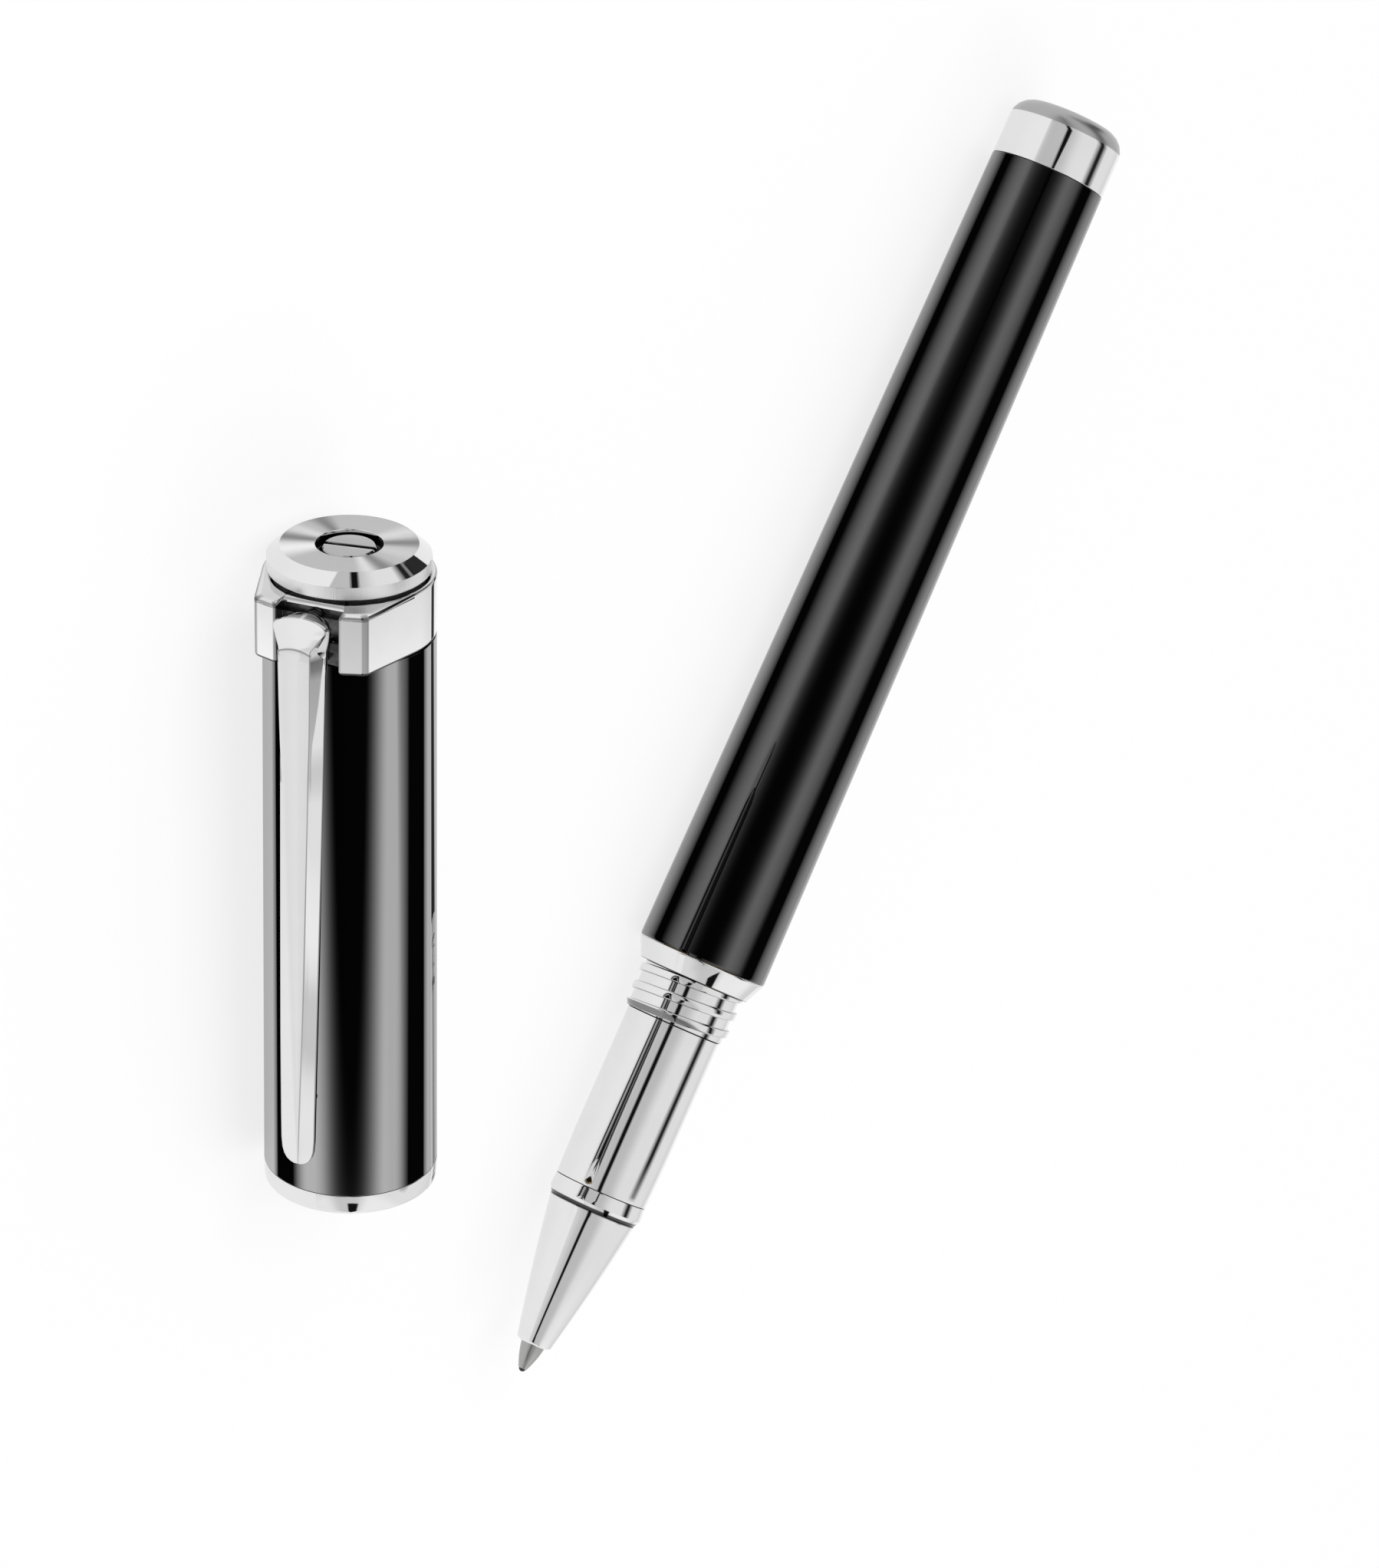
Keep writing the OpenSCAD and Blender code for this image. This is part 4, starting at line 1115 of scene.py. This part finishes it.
def head_section(z, panel, half, drop, edge_drop):
    """One section across the clip's head, whose top face slopes back."""
    front = CLIP_FRONT - drop
    edge = min(CLIP_FRONT - edge_drop, front - 0.1)
    back = clip_back(z)
    right = [
        (panel, front, 0.07), (half * 0.35 + panel * 0.65, front * 0.4 + edge * 0.6 + 0.02, 0.05),
        (half, edge, 0.09), (half - 0.01, edge - 0.42, 0.09), (half * 0.8, back, 0.1),
    ]
    left = [(-y, x, cut) for y, x, cut in reversed(right)]
    corners = right + left + [(-panel * 0.15, front + 0.02, panel * 0.4)]
    # Painted tones of the head's faces: painted shade on the side walls and back, and painted dark lines along the
    # edges, darker round the top
    rim = 0.55 if z > HEAD_WIDEST + 0.3 else 0.4
    shades = [0.8, 0.8, 0.35, 0.2, 0.2, 0.2, 0.35, 0.8, 0.85, 0.97, 1.03]
    lines = [rim, 0, 0.4, 0.3, 0, 0, 0.3, 0.4, 0, rim, 0]
    return shaded(corners, shades, lines, z)


def knuckle_rings():
    """Slices of the knuckle around the pivot pin, flat where it meets the back of the clip."""
    rings = []
    for k in range(KNUCKLE_STEPS):
        turn = FULL_TURN * k / KNUCKLE_STEPS
        outwards, along = math.cos(turn), math.sin(turn)
        outer = KNUCKLE_R
        if outwards > 0:
            outer = min(KNUCKLE_R / max(abs(along), 0.01), KNUCKLE_DEPTH / outwards)
        section = rounded([
            (PIN_BORE, -KNUCKLE_HALF, 0), (outer, -KNUCKLE_HALF, 0.1), (outer, KNUCKLE_HALF, 0.1),
            (PIN_BORE, KNUCKLE_HALF, 0),
        ], closed=True, steps=3)
        # The knuckle is painted darker: painted shade behind the clip's head
        rings.append([(PIN_AT[0] + r * outwards, y, PIN_AT[1] + r * along, 0.5) for r, y in section])
    return rings


def foot_rings():
    """Circles of the rounded foot that rests on the cap, from inside the clip to its end."""
    profile = rounded(
        [(FOOT_TOP, FOOT_BASE_R, 0), (FOOT_END, FOOT_END_R, 0.28), (FOOT_END, 0.05, 0)], steps=5)
    angles = [FULL_TURN * k / 32 for k in range(32)]
    # The foot is painted darker: painted shade under the clip's end
    return [
        [(x, r * math.cos(a), FOOT_AT + r * math.sin(a), 0.6) for a in angles] for x, r in profile
    ]


class PEN_OT_clip(bpy.types.Operator):
    """Build the faceted clip"""

    bl_idname = "pen.clip"
    bl_label = "Clip"

    def execute(self, context):
        plating = (plated_finish("Clip plating", ON_CAP, shaded_edges=True, arch_line=True),)
        clip = lofted("clip_polished", clip_rings(), ON_CAP, smooth=40, finishes=plating)
        knuckle = lofted("clip_knuckle", knuckle_rings(), ON_CAP, closed=True, smooth=40, finishes=plating)
        foot = lofted("clip_foot", foot_rings(), ON_CAP, smooth=40, finishes=plating)
        nothing_selected()
        for piece in (knuckle, foot, clip):
            piece.select_set(True)
        context.view_layer.objects.active = clip
        bpy.ops.object.join()
        clip.visible_glossy = False
        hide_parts("clip")
        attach(clip, "clip")
        return {"FINISHED"}


class PEN_OT_inner_pieces(bpy.types.Operator):
    """Give the inner pieces their brass, steel, plastic and rubber finishes"""

    bl_idname = "pen.inner_pieces"
    bl_label = "Inner pieces"

    def execute(self, context):
        brass = inner_finish("Turned brass", context.scene.pen_finishes.brass, 1.0, 0.2, 0.36, 7000)
        dark = inner_finish("Dark plastic", (0.03, 0.03, 0.034), 0.0, 0.42, 0.6, 1800)
        rubber = inner_finish("Seal rubber", (0.02, 0.02, 0.02), 0.0, 0.6, 0.8, 2500)
        steel = inner_finish("Spring steel", (0.56, 0.56, 0.57), 1.0, 0.18, 0.32, 9000)
        # The clip's spring and pin are painted near black: painted shade inside the clip's window
        shaded_steel = inner_finish("Steel in painted shade", (0.05, 0.05, 0.052), 1.0, 0.3, 0.45, 9000)
        tube = inner_finish("Refill tube metal", (0.62, 0.62, 0.63), 1.0, 0.22, 0.34, 5000)
        ink = inner_finish("Ink fibre", (0.01, 0.015, 0.06), 0.0, 0.7, 0.95, 6000)
        finishes = {
            "barrel_sleeve": brass, "finial_stud": brass, "section_core": brass, "thread_insert": brass,
            "head_plug": brass, "spring_seat": dark, "refill_shell": dark, "refill_plug": dark,
            "cap_liner": dark, "collar_washer": dark, "section_seal": rubber, "refill_spring": steel,
            "clip_spring": shaded_steel, "clip_pin": shaded_steel, "refill_tube": tube, "ink_core": ink,
        }
        for name, finish in finishes.items():
            node = frame["nodes"][name]
            node.data.materials.clear()
            node.data.materials.append(finish)
        return {"FINISHED"}


def inner_finish(name, colour, metallic, smoothest, roughest, scale):
    """A plain finish with a fine grain in its colour, gloss and surface."""
    finish, skin, shading = new_finish(name)
    skin["Metallic"].default_value = metallic
    where = shading.places()
    grain = shading.noise(where, scale, smoothest, roughest)
    shading.put(skin["Roughness"], grain)
    tone = shading.noise(where, scale / 4, 0.0, 1.0)
    shading.put(skin["Base Color"], shading.mix(tone, (*(c * 0.85 for c in colour), 1), (*colour, 1)))
    shading.put(skin["Normal"], shading.bump(grain, 0.25, 0.01 * MM))
    return finish


# ---------------------------------------------------------------- studio


class PEN_OT_stage(bpy.types.Operator):
    """Set up the floor, the soft studio light and the camera"""

    bl_idname = "pen.stage"
    bl_label = "Stage"

    def execute(self, context):
        lay_floor(context)
        hang_lamps()
        light_world(context)
        aim_camera(context)
        context.scene.view_settings.view_transform = "Standard"
        return {"FINISHED"}


def lay_floor(context):
    """A plain pale floor, nearly white to the camera and in reflections, with a light shadow."""
    nothing_selected()
    bpy.ops.mesh.primitive_plane_add(size=6, location=(0, 0, TABLE_Z - 0.01 * MM))
    floor = bpy.context.object
    floor.name = "floor"
    finish, skin, shading = new_finish("Floor")
    skin["Base Color"].default_value = (*context.scene.pen_finishes.floor, 1)
    skin["Roughness"].default_value = 1.0
    skin["Specular IOR Level"].default_value = 0.0
    rays = shading.nodes.new("ShaderNodeLightPath").outputs
    seen = shading.maths("MAXIMUM", rays["Is Camera Ray"], rays["Is Glossy Ray"])
    seen = shading.maths("MAXIMUM", seen, rays["Is Transmission Ray"])
    plain = shading.nodes["Principled BSDF"].outputs["BSDF"]
    glow = shading.node("Emission", "Emission", {"Color": (0.99, 0.99, 0.99, 1)})
    mixed = shading.node("MixShader", "Shader", {"Fac": shading.times(seen, 0.8), 1: plain, 2: glow})
    shading.put(shading.nodes["Material Output"].inputs["Surface"], mixed)
    floor.data.materials.append(finish)
    nothing_selected()


# Each lamp's name, place in metres and power in watts
LAMPS = (("Key lamp", (-0.25, -0.35, 0.75), 3.2), ("Fill lamp", (0.35, 0.45, 0.7), 2.6))
LAMP_SIZE = 0.7


def hang_lamps():
    """Two large soft lamps above the table, left out of reflections."""
    for name, place, power in LAMPS:
        lamp = bpy.data.lights.new(name, "AREA")
        lamp.shape = "SQUARE"
        lamp.size = LAMP_SIZE
        lamp.energy = power
        holder = bpy.data.objects.new(name, lamp)
        holder.location = place
        holder.rotation_euler = (-Vector(place)).to_track_quat("-Z", "Y").to_euler()
        holder.visible_glossy = False
        bpy.context.scene.collection.objects.link(holder)


# The camera's own directions, right, up and back, in the frame of the part
VIEW_RIGHT = Vector((-0.4028, 0.5393, 0.7396)).normalized()
VIEW_BACK = Vector((0.0138, -0.8043, 0.5940)).normalized()
VIEW_UP = VIEW_BACK.cross(VIEW_RIGHT).normalized()
CAMERA_AT = Vector((-0.01904, -0.4384, 0.31431))
# The camera's focal length and sensor height in millimetres
FOCAL = 133.855
SENSOR = 36

# Where the thin gap behind the camera lies and how wide it is, in degrees, against the height
GAP_MIDDLE = (
    (-0.84, 8), (-0.7, -12), (-0.55, -19), (-0.4, -20), (-0.25, -10), (0.0, -4.5), (0.07, -4), (0.12, 9),
    (1.0, 10),
)
GAP_WIDTH = (
    (-0.84, 11.5), (-0.75, 7), (-0.6, 6), (-0.4, 6), (-0.2, 5.2), (0.1, 5.0), (0.5, 4), (1.0, 7),
)
GAP_REACH = 30
WIDTH_REACH = 15


def light_world(context):
    """Soft light from all round, and the tall pale panels with dark gaps that polished metal shows.

    The panels and gaps are placed for the camera's own view.
    """
    world = context.scene.world or bpy.data.worlds.new("Studio")
    context.scene.world = world
    world.use_nodes = True
    shading = Shading(world.node_tree)
    shading.nodes.clear()
    sky = shading.node("TexCoord", "Generated", {})
    right, back, height = (
        shading.node("VectorMath", "Value", {0: sky, 1: direction}, operation="DOT_PRODUCT")
        for direction in (VIEW_RIGHT, VIEW_BACK, VIEW_UP)
    )
    turn = shading.times(shading.maths("ARCTAN2", right, back), 180 / math.pi)
    level = shading.times(panel_light(shading, turn), middle_gap(shading, turn, height))
    level = shading.times(level, shading.spread(height, -0.76, -0.66, 1.13, 1.0))
    # A brighter patch for the clip's head
    patch = shading.times(shading.spread(height, 0.2, 0.26), shading.spread(turn, -25, -35),
                          shading.spread(turn, -75, -55))
    level = shading.times(level, shading.spread(patch, 0, 1, 1, 1.3), side_gaps(shading, turn, height))
    shown = shading.node("Background", "Background", {"Color": level})
    soft = shading.node("Background", "Background", {"Color": (1, 1, 1, 1), "Strength": 0.6})
    white = shading.node("Background", "Background", {"Color": (1, 1, 1, 1)})
    rays = shading.nodes.new("ShaderNodeLightPath").outputs
    glossy = shading.node("MixShader", "Shader", {"Fac": rays["Is Glossy Ray"], 1: soft, 2: shown})
    seen = shading.node("MixShader", "Shader", {"Fac": rays["Is Camera Ray"], 1: glossy, 2: white})
    shading.put(shading.nodes.new("ShaderNodeOutputWorld").inputs["Surface"], seen)


def panel_light(shading, turn):
    """Pale panels all round, dimmer about the camera's own direction and brightest far behind the part."""
    level = shading.spread(turn, -47, 57, 0.86, 0.91)
    left, right = shading.spread(turn, -48, -16, soft=True), shading.spread(turn, 40, 10, soft=True)
    level = shading.minus(level, shading.times(left, right, 0.27))
    for fade in ((120, 150, 1.0, 0.84), (151, 159, 1.0, 1.31), (-180, -150, 0.92, 1.0)):
        level = shading.times(level, shading.spread(turn, *fade))
    return level


def middle_gap(shading, turn, height):
    """The thin dark gap behind the camera, wider low down and open in one stretch."""
    here = shading.spread(height, -1, 1)

    def along(stops, low, high):
        scaled = [((at + 1) / 2, (value - low) / (high - low)) for at, value in stops]
        return shading.spread(shading.ramp(here, scaled), 0, 1, low, high)

    off = shading.apart(turn, along(GAP_MIDDLE, -GAP_REACH, GAP_REACH))
    gap = shading.spread(shading.minus(off, along(GAP_WIDTH, 0, WIDTH_REACH)), -2, 2, 0.01, 1)
    low, high = shading.spread(height, -0.842, -0.838), shading.spread(height, -0.72, -0.66, 1.0, 0.0)
    return shading.maths("MAXIMUM", gap, shading.times(low, high))


def side_gaps(shading, turn, height):
    """Dark gaps between the panels: one at each side, and one high up beyond each of them."""
    aside = shading.maths("ABSOLUTE", turn)
    high = shading.times(shading.spread(height, 0.49, 0.55), shading.spread(height, 0.74, 0.80, 1.0, 0.0),
                         shading.spread(aside, 90, 94), shading.spread(aside, 140, 146, 1.0, 0.0))
    level = shading.minus(1.0, shading.times(high, 0.97))
    for middle, fade_low, fade_high in ((83, -0.56, -0.46), (-97, -0.2, 0.0)):
        dark = shading.spread(shading.apart(turn, middle), 3, 16, 0.98, 0)
        dark = shading.times(dark, shading.spread(height, fade_low, fade_high))
        level = shading.times(level, shading.minus(1.0, dark))
    return level


def aim_camera(context):
    """The camera, at its place above the table and turned upright along the cap."""
    camera = bpy.data.objects.new("Camera", bpy.data.cameras.new("Camera"))
    context.scene.collection.objects.link(camera)
    camera.matrix_world = Matrix.Translation(CAMERA_AT) @ Matrix(
        (VIEW_RIGHT, VIEW_UP, VIEW_BACK)).transposed().to_4x4()
    camera.data.sensor_width = SENSOR
    camera.data.lens = FOCAL
    camera.data.clip_start = 0.01
    camera.data.clip_end = 20
    context.scene.camera = camera


# ---------------------------------------------------------------- panel and run


OPERATORS = (
    PEN_OT_barrel, PEN_OT_section, PEN_OT_refill_tip, PEN_OT_cap_shell, PEN_OT_cap_head, PEN_OT_clip,
    PEN_OT_inner_pieces, PEN_OT_stage,
)


class PEN_PT_build(bpy.types.Panel):
    """Lists the pen's pieces, sizes and finishes"""

    bl_label = "Rollerball Pen"
    bl_space_type = "VIEW_3D"
    bl_region_type = "UI"
    bl_category = "Pen"

    def draw(self, context):
        for group in (context.scene.pen_sizes, context.scene.cap_sizes, context.scene.pen_finishes):
            box = self.layout.box()
            for name in group.bl_rna.properties.keys():
                if name not in ("rna_type", "name"):
                    box.prop(group, name)
        for operator in OPERATORS:
            self.layout.operator(operator.bl_idname)


CLASSES = (PenSizes, CapSizes, Finishes, *OPERATORS, PEN_PT_build)


def register():
    for kind in CLASSES:
        bpy.utils.register_class(kind)
    bpy.types.Scene.pen_sizes = bpy.props.PointerProperty(type=PenSizes)
    bpy.types.Scene.cap_sizes = bpy.props.PointerProperty(type=CapSizes)
    bpy.types.Scene.pen_finishes = bpy.props.PointerProperty(type=Finishes)


def unregister():
    del bpy.types.Scene.pen_finishes
    del bpy.types.Scene.cap_sizes
    del bpy.types.Scene.pen_sizes
    for kind in reversed(CLASSES):
        bpy.utils.unregister_class(kind)


def main():
    register()
    bpy.ops.pen.barrel()
    bpy.ops.pen.section()
    bpy.ops.pen.refill_tip()
    bpy.ops.pen.cap_shell()
    bpy.ops.pen.cap_head()
    bpy.ops.pen.clip()
    bpy.ops.pen.inner_pieces()
    bpy.ops.pen.stage()


if __name__ == "__main__":
    main()
